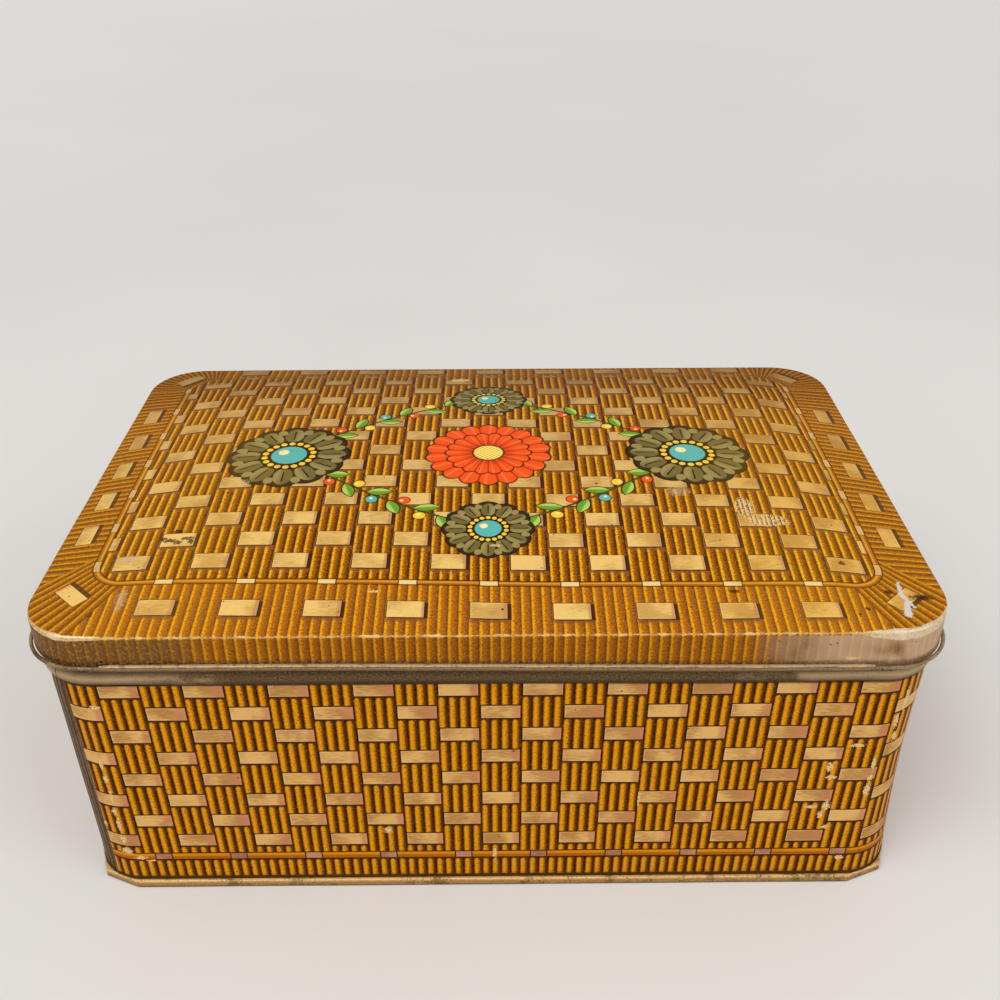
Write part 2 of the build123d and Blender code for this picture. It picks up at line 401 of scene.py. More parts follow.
lidInks = {
    "caneRamp": [(0.0, ink(46, 20, 3)), (0.08, ink(98, 50, 4)), (0.15, ink(242, 180, 34)),
                 (0.32, ink(232, 160, 14)), (0.42, ink(168, 94, 2)), (0.68, ink(138, 76, 2)),
                 (0.86, ink(88, 46, 4)), (1.0, ink(48, 22, 3))],
    "borderRamp": [(0.0, ink(96, 46, 8)), (0.07, ink(146, 76, 8)), (0.13, ink(230, 164, 16)),
                   (0.3, ink(220, 152, 10)), (0.37, ink(186, 106, 6)), (0.64, ink(170, 92, 8)),
                   (0.74, ink(146, 90, 34)), (0.93, ink(130, 78, 30)), (1.0, ink(86, 44, 10))],
    "shade": ink(130, 78, 36), "skirt": ink(84, 42, 4), "stipple": ink(112, 58, 18),
    "mauve": ink(150, 98, 64),
    "strip": ink(228, 188, 108), "stripDeep": ink(198, 152, 80), "stripEdge": ink(238, 206, 134),
    "stripEnd": ink(184, 130, 84), "outline": ink(50, 22, 8), "shadow": ink(54, 28, 24),
    # The first ink on the next line darkens the lid's back as painted shade, the second lightens its sides as
    # painted light
    "paintedBackShade": ink(84, 52, 16), "paintedSideLight": ink(250, 186, 46), "soft": ink(92, 66, 28),
    # The first tint below dulls the pale inks towards the back as painted shade
    "backShadeTint": (0.76, 0.72, 0.8), "brownTint": (0.9, 0.78, 0.5),
    "frameCane": ink(166, 96, 14), "frameLight": ink(224, 158, 46),
}

wallPrint = {
    "columnPitch": 11.49, "columnMiddle": 3.25, "rowPitch": 8.14, "rowMiddle": 67.7,
    "stripLength": 10.75, "stripHeight": 4.4, "canes": 4,
    "lowestStrip": 14.6, "band": 12.1, "bandHalf": 1.15, "tieHalfLength": 2.35,
    "taper": 0.00043, "taperHeight": 75.0, "taperReach": 107.0,
    "strip": {"outline": 0.38, "shadowX": 0.12, "shadowY": 0.1, "blur": 0.2, "end": 2.6, "endRagged": 1.6},
}

wallInks = {
    "barRamp": [(0.05, ink(88, 44, 2)), (0.13, ink(162, 92, 4)), (0.22, ink(228, 154, 8)),
                (0.46, ink(220, 144, 6)), (0.6, ink(176, 102, 4)), (0.74, ink(100, 58, 4))],
    "fieldRamp": [(0.0, ink(34, 12, 2)), (0.12, ink(86, 46, 4)), (0.6, ink(94, 56, 6)),
                  (0.84, ink(78, 46, 6)), (0.93, ink(38, 16, 3)), (1.0, ink(34, 12, 2))],
    "line": ink(36, 13, 3), "foot": ink(84, 58, 26), "soft": ink(60, 40, 18),
    "strip": ink(216, 170, 100), "stripDeep": ink(174, 124, 68), "stripEdge": ink(230, 196, 138),
    "stripEnd": ink(188, 122, 84), "outline": ink(38, 16, 6), "shadow": ink(44, 20, 8),
    "band": ink(168, 92, 4), "bandLight": ink(208, 132, 12),
    "tie": ink(182, 132, 100), "tieDeep": ink(150, 98, 68),
}


def grainOf(u, v, seed):
    # Fine streaks along a pale strip, on a tone that drifts from strip to strip.
    fine = mottle(vector(u * 0.35 + seed, v * 2.6), 1.0, 3.0, 0.7)
    drift = mottle(vector(u + seed * 5, v), 0.085, 1.0)
    return rise(fine + (drift - 0.5) * 1.2, 0.34, 0.7)


def printShift(u, v):
    # How far the lid's print lies out of square on its sheet, along and across.
    toLeft = least(most(-u, 0.0), 90.0)
    edge = rise(u, 94.0, 112.0)
    nearBack = rise(v, 54.0, 67.0)
    right = rise(u, 35.0, 88.0) * (1 - edge)
    across = toLeft * 0.0275 - rise(u, -10.0, 25.0) * 0.7 + right * rise(v, 10.0, 56.0) * 1.8
    across = across * (1 - nearBack * 0.65) - edge
    along = rise(u, 20.0, 90.0) * rise(v, -60.0, -20.0) * 0.75 + rise(v, 20.0, 60.0) * 0.3
    along = along * (1 - nearBack * 0.5) * (1 - edge) + 0.3 - rise(-u, 60.0, 90.0) * (1 - nearBack) * 0.6
    left = rise(-u, 92.0, 108.0) * rise(v, -45.0, 20.0)
    return along + left * (1 - nearBack), across - left * 0.9 + rise(u, 60.0, 88.0) * (1 - edge) * 0.4


def stippled(painted, speck, stipple):
    # Ink that is dotted on, and thinner in places.
    return layers(painted, (lidInks["stipple"], rise(speck, 0.5, 0.64) * 0.6),
                  (lidInks["mauve"], rise(stipple, 0.54, 0.68) * 0.28),
                  (lidInks["frameLight"], rise(speck, 0.46, 0.32) * 0.4))


def shadedAndBrownedInks(u, v):
    # The lid's inks, with the pale ones dulled towards the back as painted shade and browned towards the
    # right.
    toBack = rise(v, -55.0, 42.0)
    toRight = rise(u, 35.0, 88.0) * 0.65
    inks = dict(lidInks)
    for name in ("strip", "stripDeep", "stripEdge"):
        dull = colour(inks[name], inks["backShadeTint"], toBack, "MULTIPLY")
        inks[name] = colour(dull, inks["brownTint"], toRight, "MULTIPLY")
    return inks


def lidField(u, v, speck, stipple):
    # The weave inside the frame.
    size = lidPrint
    inks = shadedAndBrownedInks(u, v)
    cell = weave(u, v, size)
    cane = fract(cell["across"] * size["canes"] + (speck - 0.5) * 0.7)
    nearColumn = least(cell["across"], 1 - cell["across"])
    # Canes come out rounded from the shade below each strip.
    crown = (cane - 0.25) * (cane - 0.25) * 2.4
    painted = layers(ramp(cane, inks["caneRamp"]), (inks["outline"], rise(nearColumn, 0.05, 0.015) * 0.8),
                     (inks["shade"], rise(cell["below"] - crown, 1.5, 0.9) * 0.85))
    # Near the back the canes' ends show over the strips below them.
    comb = rise(v, 52.0, 64.0) * rise(cell["v"], 0.2, 1.8) * rise(cane, 0.34, 0.5)
    present = rise(v, size["lowestStrip"], size["lowestStrip"] + 0.5) * (1 - comb * 0.6)
    stripU = cell["u"] + 0.1
    halfHeight = blend(size["stripHeight"] / 2, size["backHeight"] / 2, rise(v, 44.0, 60.0))
    painted = stippled(painted, speck, stipple)
    beside = (stripU + size["columnPitch"], cell["beside"])
    return strip(painted, stripU, cell["v"], size["stripLength"] / 2, halfHeight, inks, grainOf(u, v, 3.0),
                 size["strip"], present, beside)


def lidBorder(u, v, frameU, speck, stipple):
    # Canes at right angles to the edge, which fan out round the corners, with the border's strips.
    size = lidPrint
    inks = shadedAndBrownedInks(u, v)
    fromMiddle = v - size["frameMiddle"]
    atFront = fromMiddle < 0.0
    fanX, fanY, low, high, count = (blend(*pair, atFront) for pair in zip(size["fanBack"], size["fanFront"]))
    angle = maths("ARCTAN2", abs(fromMiddle) - fanY, abs(frameU) - fanX) * (180 / math.pi)
    onSide = angle < high
    onCorner = onSide * (angle > low)
    along = blend(u / size["borderCane"], v / size["sideCane"], onSide)
    along = blend(along, (angle - low) * count / (high - low), onCorner)
    cane = fract(along + (speck - 0.5) * 0.6)
    dark = onSide * blend(0.18, 0.7, rise(cane, 0.58, 0.76))
    painted = stippled(colour(ramp(cane, inks["borderRamp"]), inks["skirt"], dark), speck, stipple)
    # The strips of the border
    runU = nearest(u - size["columnMiddle"], 2 * size["columnPitch"])
    runV = v - blend(size["borderBack"], size["borderFront"], atFront)
    sideV = nearest(v - size["borderSideMiddle"], size["borderSidePitch"])
    sideU = abs(frameU) - size["borderSide"]
    beyond = abs(v - size["borderSideMiddle"]) > size["sideStrips"] * size["borderSidePitch"] / 2 - 1
    present = 1 - onSide * (1 - onCorner) * beyond
    cornerX = blend(size["cornerBack"][0], size["cornerFront"][0], atFront)
    cornerY = blend(size["cornerBack"][1] - size["frameMiddle"],
                    size["frameMiddle"] - size["cornerFront"][1], atFront)
    fromX = (abs(frameU) - cornerX) * math.sqrt(0.5)
    fromY = (abs(v - size["frameMiddle"]) - cornerY) * math.sqrt(0.5)
    stripU = blend(blend(runU, sideV, onSide), fromX - fromY, onCorner)
    stripV = blend(blend(runV, sideU, onSide), fromX + fromY, onCorner)
    halfLength = size["borderStrip"] / 2
    halfHeight = blend(size["rearHeight"] / 2, size["frontHeight"] / 2, atFront)
    halfHeight = blend(halfHeight, size["sideHeight"] / 2, onSide)
    # Shade on the canes below each strip; the shadows all fall to the right.
    shade = rise(abs(stripU) - halfLength, 0.5, -0.1) * within(stripV + halfHeight + 0.6, 0.9, 0.5)
    painted = colour(painted, inks["shade"], shade * (1 - onSide) * 0.8)
    look = {**size["strip"], "shadowX": blend(size["strip"]["shadowX"], 0.3, onSide),
            "shadowY": blend(size["strip"]["shadowY"], maths("SIGN", u) * -1.4, onSide)}
    return strip(painted, stripU, stripV, halfLength, halfHeight, inks, grainOf(u, v, 7.0), look, present)


def lidFrame(u, v, frameU, inner, border):
    # The thin cane that frames the weave, tied at every second column and row, and faint along the back.
    size = lidPrint
    inks = lidInks
    fromMiddle = v - size["frameMiddle"]
    halfLength, halfWidth = size["frameHalfLength"], size["frameHalfWidth"]
    reach = roundedBox(frameU, fromMiddle, halfLength, halfWidth, size["frameRadius"])
    half = size["frameCane"]
    clear = blend(1.0, 0.35, rise(fromMiddle, 62.0, 67.0))
    cane = colour(inks["frameCane"], inks["frameLight"], within(reach + 0.2, 0.3, 0.25) * 0.8)
    onSide = (abs(frameU) - halfLength) > (abs(fromMiddle) - halfWidth)
    runU = nearest(u - size["columnMiddle"], 2 * size["columnPitch"])
    runV = nearest(v - size["sideTieMiddle"], size["borderSidePitch"])
    tie = most(abs(blend(runU, runV, onSide)) - size["tieHalfLength"], abs(reach) - 0.85)
    pale = colour(inks["stripEdge"], inks["stripEnd"], blend(0.15, 0.6, onSide))
    return layers(inner, (border, rise(reach, -0.05, 0.05)),
                  (inks["outline"], within(reach, half + 0.28) * 0.85 * clear),
                  (cane, within(reach, half - 0.16) * clear),
                  (inks["outline"], rise(tie, 0.4, 0.18) * clear), (pale, rise(tie, 0.1, -0.1) * clear))


# The lid's ornament: rosettes, a large flower and a chain of leaves and berries, of a common kind

ornament = {
    "middle": 3.5, "sideRosette": 64.0, "endRosette": 43.0, "sideRadius": 19.0, "endRadius": 13.0,
    # Rings of a rosette, as shares of its radius
    "petals": 12, "petalRing": 0.72, "petalHalf": 0.25, "gapRing": 0.86, "beadRing": 0.41, "domeRing": 0.3,
    "flowerRadius": 20.0, "flowerPetals": 18, "flowerCentre": 0.25,
    # A chain's leaves and berries stand off its stem; lean is the cosine and sine of a leaf's slope
    "chainBow": 18.0, "standOff": 2.3, "lean": (0.82, 0.57),
    "leafPitch": 8.6, "leafLength": 3.9, "leafHalfWidth": 1.75, "berryRadius": 1.75,
}

ornamentInks = {
    "ground": ink(52, 40, 20), "petal": ink(112, 98, 52), "petalLight": ink(150, 134, 78),
    "line": ink(30, 20, 8), "coral": ink(238, 84, 24), "coralDeep": ink(186, 44, 12),
    "coralLight": ink(252, 132, 70),
    "turquoise": ink(88, 176, 168), "cream": ink(244, 226, 160), "yellow": ink(242, 196, 58),
    "green": ink(104, 150, 44), "greenLight": ink(176, 200, 90), "stem": ink(74, 66, 24),
}


def rosette(under, x, y, radius, size, inks):
    # A round of petals on a scalloped ground, with a ring of beads and a domed centre.
    petals = size["petals"]
    r = root(x, y) / radius
    turn = maths("ARCTAN2", y, x) * (petals / (2 * math.pi))
    petal = fract(turn + 0.5) - 0.5
    scallop = 1.02 - 0.32 * petal * petal
    halfWidth = 2 * math.pi / petals / 2
    leafX = petal * r * (2 * math.pi / petals) / (halfWidth * 0.62)
    leafY = (r - size["petalRing"]) / size["petalHalf"]
    light = colour(inks["petal"], inks["petalLight"], rise(petal, 0.1, -0.3))
    # Small leaves between the petals
    gapX = (fract(turn) - 0.5) * r / 0.16
    gapY = (r - size["gapRing"]) / 0.1
    beadX = (fract(turn * 1.5) - 0.5) * r * (2 * math.pi / petals / 1.5)
    beadY = r - size["beadRing"]
    dome = size["domeRing"]
    shineX = x / radius + 0.1
    shineY = y / radius - 0.1
    return layers(under, (inks["line"], rise(r - scallop, 0.05, 0.02)),
                  (inks["ground"], rise(r - scallop, 0.012, -0.012)),
                  (light, rise(leafX * leafX + leafY * leafY, 1.06, 0.9)),
                  (inks["line"], within(petal, 0.035, 0.02) * within(r - size["petalRing"], 0.16, 0.02)),
                  (inks["petalLight"], rise(gapX * gapX + gapY * gapY, 1.1, 0.8)),
                  (inks["line"], within(beadY, 0.085, 0.01)),
                  (inks["yellow"], rise(beadX * beadX + beadY * beadY, 0.0036, 0.0024)),
                  (inks["turquoise"], rise(r, dome + 0.01, dome - 0.01)),
                  (inks["cream"], rise(shineX * shineX + shineY * shineY, 0.012, 0.004)))


def flower(under, x, y, size, inks):
    # A many-petalled flower in two rounds.
    r = root(x, y) / size["flowerRadius"]
    turn = maths("ARCTAN2", y, x) * (size["flowerPetals"] / (2 * math.pi))
    painted = under
    for end, shift in ((1.0, 0.0), (0.68, 0.5)):
        petal = fract(turn + shift) - 0.5
        edge = end - 0.42 * end * petal * petal
        tone = layers(inks["coral"], (inks["coralDeep"], rise(r, end * 0.75, end * 0.3)),
                      (inks["coralLight"], within(petal + 0.12, 0.05, 0.08) * 0.7),
                      (inks["coralDeep"], rise(abs(petal), 0.4, 0.49)))
        painted = layers(painted, (inks["line"], rise(r - edge, 0.045, 0.015)),
                         (tone, rise(r - edge, 0.012, -0.012)))
    dots = maths("SINE", x * 4.2) * maths("SINE", y * 4.2)
    centre = layers(inks["yellow"], (inks["cream"], rise(dots, 0.1, 0.5)),
                    (inks["green"], rise(dots, -0.4, -0.8) * 0.6))
    edge = size["flowerCentre"]
    return layers(painted, (inks["line"], rise(r, edge + 0.025, edge)), (centre, rise(r, edge, edge - 0.03)))


def chain(under, x, y, size, inks):
    # Leaves and berries along the four lines between the rosettes, bowed a little outwards.
    startX, endY = size["sideRosette"], size["endRosette"]
    length = math.hypot(startX, endY)
    alongX, alongY = -startX / length, endY / length
    along = (x - startX) * alongX + y * alongY
    share = along / length
    off = (x - startX) * alongY * -1 + y * alongX
    off = -off - share * (1 - share) * size["chainBow"]
    inRun = within(along - length / 2, length / 2 - 6, 0.2)
    step = along / size["leafPitch"]
    index = maths("FLOOR", step)
    here = (step - index - 0.5) * size["leafPitch"]
    side = off * ((index % 2.0) * 2 - 1)
    # A leaf leans away from the stem on one side, a berry stands on the other.
    leanX, leanY = size["lean"]
    fromLeaf = side - size["standOff"]
    tiltX = here * leanX + fromLeaf * leanY
    tiltY = fromLeaf * leanX - here * leanY
    share = tiltX / size["leafLength"]
    fromEdge = abs(tiltY) - (1 - share * share) * size["leafHalfWidth"]
    green = colour(inks["green"], inks["greenLight"], rise(tiltY, -0.2, 0.8))
    berryX = here - 0.6
    berryY = side + size["standOff"]
    berry = root(berryX, berryY)
    radius = size["berryRadius"]
    pick = index % 3.0
    tone = layers(inks["yellow"], (inks["turquoise"], pick > 0.5), (inks["coral"], pick > 1.5))
    glint = (berryX + 0.5) * (berryX + 0.5) + (berryY - 0.4) * (berryY - 0.4)
    return layers(under, (inks["stem"], within(off, 0.42, 0.1) * inRun),
                  (inks["line"], rise(fromEdge, 0.5, 0.25) * (abs(share) < 1.12) * inRun),
                  (green, rise(fromEdge, 0.1, -0.1) * inRun),
                  (inks["line"], rise(berry, radius + 0.4, radius + 0.15) * inRun),
                  (tone, rise(berry, radius + 0.1, radius - 0.1) * inRun),
                  (inks["cream"], rise(glint, 0.4, 0.15) * inRun))


def lidOrnament(under, u, v):
    size = ornament
    inks = ornamentInks
    y = v - size["middle"]
    foldX, foldY = abs(u), abs(y)
    toSide = (foldX / size["sideRosette"]) > (foldY / size["endRosette"])
    x = u - toSide * size["sideRosette"] * maths("SIGN", u)
    fromEnd = y - (1 - toSide) * size["endRosette"] * maths("SIGN", y)
    radius = blend(size["endRadius"], size["sideRadius"], toSide)
    painted = rosette(chain(under, foldX, foldY, size, inks), x, fromEnd, radius, size, inks)
    return flower(painted, u, y, size, inks)


# Finishes

bareInks = {
    "cream": ink(226, 194, 134), "fold": ink(222, 182, 92), "foldDull": ink(178, 146, 104),
    "flake": ink(220, 214, 204), "skirt": ink(98, 68, 34), "skirtLight": ink(200, 168, 138),
    # The next dark ink is rust and dirt in specks, and painted shade in creases, under the wall's bead and
    # where the rim meets the wall
    "soilAndShade": ink(50, 30, 12), "dust": ink(186, 164, 126),
}

lidWear = {
    "foldHalf": 0.2, "cornerHalf": 0.75, "frontRight": 0.9, "skirtFrom": (94.0, 66.0),
    # Streaks of bare flake as start, end, half width at each
    "flake": [((112.8, -61.9), (112.2, -67.4), 0.4, 0.75), ((112.2, -67.4), (114.4, -73.2), 0.8, 0.3),
              ((112.7, -70.8), (111.6, -76.0), 0.7, 1.1)],
    # Marks as middle along, middle across, half length, half width
    "rubbed": [(2.0, -47.4, 1.6, 0.5), (96.0, -91.3, 1.7, 0.4), (-10.6, 67.8, 3.2, 1.6),
               (-31.0, -66.5, 1.3, 0.5)],
    "latticed": [(76.6, -28.4, 2.8, 5.0), (82.2, -34.9, 6.2, 3.0)],
    "dusty": [(-101.4, -50.2, 3.8, 1.9), (-75.3, -12.6, 1.7, 1.5), (57.7, -20.4, 3.6, 2.8),
              (-99.2, -68.4, 1.5, 4.4)],
    "soiled": [(-91.8, -42.3, 2.1, 0.9), (-89.3, -43.4, 1.3, 1.0), (-86.8, -41.6, 1.8, 0.8),
               (-85.6, -43.0, 0.8, 1.2), (-93.6, -41.4, 0.9, 1.0), (-90.2, -38.0, 1.8, 1.0),
               (99.2, -54.4, 1.0, 0.8), (108.9, -66.5, 1.1, 0.9), (-67.0, -59.0, 0.6, 0.8),
               (66.9, -67.2, 1.4, 0.7), (101.3, -73.8, 0.7, 0.7), (117.6, -68.4, 3.2, 1.2)],
}

varnish = {"Coat Roughness": 0.25, "Coat IOR": 1.4, "IOR": 1.4, "Specular IOR Level": 0.03}


def specks(place, scale, reach, keep):
    # Small dark rust specks, on a share of the cells only.
    bench = place.bench
    distance = bench.make("ShaderNodeTexVoronoi", None, {"Vector": place, "Scale": scale}, output="Distance")
    return rise(distance, reach, reach * 0.7) * rise(mottle(place, scale * 0.21, 1.0), keep, keep + 0.02)


def marks(place, table, ragged):
    # 1 inside any of the listed ellipses, whose edges a noise about zero makes ragged.
    found = 0.0
    for along, across, halfLength, halfWidth in table:
        away = vectors("SUBTRACT", place, (along, across, 0.0))
        scaled = vectors("MULTIPLY", away, (1 / halfLength, 1 / halfWidth, 0.0))
        found = most(found, rise(dot(scaled, scaled) + ragged, 1.05, 0.85))
    return found


def streaks(place, table, ragged):
    # 1 inside any of the listed tapering streaks.
    found = 0.0
    for start, end, halfStart, halfEnd in table:
        run = (end[0] - start[0], end[1] - start[1], 0.0)
        away = vectors("SUBTRACT", place, (*start, 0.0))
        share = least(most(dot(away, run) / (run[0] ** 2 + run[1] ** 2), 0.0), 1.0)
        onLine = place.bench.make("ShaderNodeVectorMath", {"operation": "SCALE"}, {0: run, "Scale": share})
        distance = vectors("DISTANCE", away, onLine, output="Value")
        found = most(found, rise(distance + ragged - blend(halfStart, halfEnd, share), 0.12, -0.12))
    return found


def lidPaint():
    bench = Bench("printedLid")
    place, u, v, aboveFoot = readPlace(bench, 3)
    place = vector(u, v)
    speck = mottle(place, 1.7, 3.0, 0.75)
    rub = mottle(place, 0.18, 4.0, 0.6)
    fine = mottle(place, 1.3, 4.0, 0.7)
    stipple = mottle(place, 1.05, 3.0, 0.8)
    cloud = mottle(place, 0.07, 2.0, 0.5)
    shiftU, shiftV = printShift(u, v)
    printU = u - shiftU
    printV = v - shiftV
    frameU = u + lidPrint["frameShift"]
    field = lidOrnament(lidField(printU, printV, speck, stipple), u, v)
    border = lidBorder(printU, printV, frameU, speck, stipple)
    printed = lidFrame(printU, printV, frameU, field, border)
    edge = roundedBox(u, v, lidHalfLength / mm, lidHalfWidth / mm, lid["cornerRadius"] / mm)
    onSkirt = rise(edge, 0.5, 0.9)
    # Painted light towards the sides at the front, specks, thinner ink in clouds, painted shade darkest at
    # the back, and a darker skirt
    printed = layers(printed, (lidInks["paintedSideLight"], rise(abs(u), 45.0, 90.0) * rise(v, 60.0, 30.0) * 0.06),
                     (lidInks["stipple"], rise(speck, 0.58, 0.7) * 0.4),
                     (lidInks["soft"], rise(rub, 0.52, 0.8) * 0.25),
                     (lidInks["paintedBackShade"], rise(v, 34.0, 76.0) * 0.42), (lidInks["skirt"], onSkirt * 0.3))
    # The skirt rubbed smooth near the corners, with the print's ribs just showing
    fromX, fromY = lidWear["skirtFrom"]
    cornerNear = least(abs(u) - fromX, abs(v) - fromY)
    toLeft = rise(-u, 48.0, 92.0) * (v < 0.0)
    toRight = rise(u, 40.0, 92.0) * (v < 0.0)
    worn = onSkirt * rise(cornerNear + toRight * 36 + toLeft * 26 + (rub - 0.5) * 12, -6.0, 16.0)
    silver = rise(u + (cloud - 0.5) * 40, 50.0, 112.0)
    metal = layers(bareInks["skirt"], (bareInks["skirtLight"], silver * rise(cloud, 0.2, 0.48)),
                   (bareInks["dust"], rise(stipple, 0.52, 0.66) * blend(0.5, 0.3, silver)))
    printed = colour(printed, metal, worn * blend(0.7, 0.74, silver))
    # Dust and painted shade in the crease where the skirt's foot meets the curl
    foot = rise(aboveFoot + (rub - 0.5) * 1.5, 1.1, 2.6)
    footDustAndShade = colour(bareInks["soilAndShade"], bareInks["foldDull"], rise(stipple, 0.45, 0.62) * 0.5)
    printed = colour(footDustAndShade, printed, blend(0.35, 1.0, foot))
    # Bare metal with a painted highlight along the fold, thin and broken on the sides, wider round the
    # corners
    ragged = (fine - 0.5) * 6 + (speck - 0.5) * 4
    cornerShare = rise(cornerNear, 0.0, 20.0)
    rightShare = rise(u, 94.0, 106.0) * rise(v, -70.0, -80.0)
    half = lidWear["foldHalf"] + cornerShare * lidWear["cornerHalf"] + rightShare * lidWear["frontRight"]
    half = half + (rub - 0.5) * 1.1 + (fine - 0.5) * 1.6
    bare = rise(abs(edge - 0.1 - rightShare * 0.5) - half, 0.16, -0.12)
    pits = most(specks(place, 0.34, 0.1, 0.5), specks(place, 0.13, 0.07, 0.5),
                marks(place, lidWear["soiled"], ragged))
    dusty = marks(place, lidWear["dusty"], ragged) * rise(speck, 0.42, 0.54)
    lattice = marks(place, lidWear["latticed"], ragged * 0.5)
    printed = layers(printed, (bareInks["soilAndShade"], pits * 0.85), (bareInks["dust"], dusty * 0.85),
                     (lidInks["outline"], lattice * 0.5))
    flecks = lattice * rise(fine + (fract(u * 0.72) - 0.5) * 0.3, 0.56, 0.5)
    rubbed = most(marks(place, lidWear["rubbed"], ragged) * rise(speck, 0.58, 0.5), flecks)
    flakes = streaks(place, lidWear["flake"], (fine - 0.5) * 2.4 + (speck - 0.5) * 1.6)
    tone = layers(bareInks["fold"], (bareInks["foldDull"], rise(stipple, 0.44, 0.58)),
                  (bareInks["cream"], most(rubbed, rise(rub, 0.5, 0.6))),
                  (bareInks["flake"], most(rightShare * 0.45, cornerShare * 0.3)),
                  (bareInks["skirt"], rise(fine, 0.54, 0.68) * 0.6))
    tone = layers(printed, (tone, most(bare, rubbed * 0.9)), (bareInks["flake"], flakes))
    bareAll = most(bare, worn * 0.6, flakes)
    rough = blend(0.4 + (fine - 0.5) * 0.25, 0.38, bareAll)
    relief = speck * 0.015 + fine * 0.02 + rub * 0.22 - bareAll * 0.05
    return bench.finish(tone, rough, bareAll * 0.35, relief, {"Coat Weight": (1 - bareAll) * 0.02, **varnish})


wallWear = {
    "chips": [(96.7, 46.2, 0.9, 1.7), (97.6, 42.2, 1.3, 0.8), (97.8, 31.2, 1.1, 1.6), (93.2, 30.6, 1.9, 0.6),
              (96.4, 27.4, 0.7, 1.4), (98.6, 22.4, 1.2, 0.6), (104.8, 9.4, 1.4, 0.8), (109.2, 47.0, 0.6, 2.2),
              (109.0, 41.6, 0.8, 1.2), (108.8, 36.8, 1.0, 2.2), (103.4, 54.4, 2.1, 0.6),
              (113.6, 62.0, 0.7, 2.6), (114.2, 56.0, 0.9, 1.6), (115.5, 69.0, 0.7, 4.0),
              (-30.1, 22.4, 1.3, 1.0), (1.3, 12.3, 0.6, 2.1),
              (-109.8, 49.0, 0.5, 2.0), (-109.5, 43.5, 0.7, 1.4), (-109.0, 36.5, 0.5, 2.4),
              (-109.2, 30.6, 0.8, 1.3), (-108.8, 25.0, 0.6, 2.6), (-108.5, 19.2, 0.9, 1.6),
              (-108.2, 14.2, 1.6, 1.3), (-107.7, 70.2, 1.5, 0.6), (-104.4, 11.6, 1.8, 0.7),
              (-101.4, 10.4, 1.3, 0.4), (43.0, 34.2, 0.3, 3.6), (-113.6, 24.2, 0.7, 0.9)],
    "margin": 8.5, "edge": 0.6, "bare": ink(118, 88, 56), "bareDark": ink(30, 18, 8),
    "foldLines": (0.5, 2.6, 5.2),
}


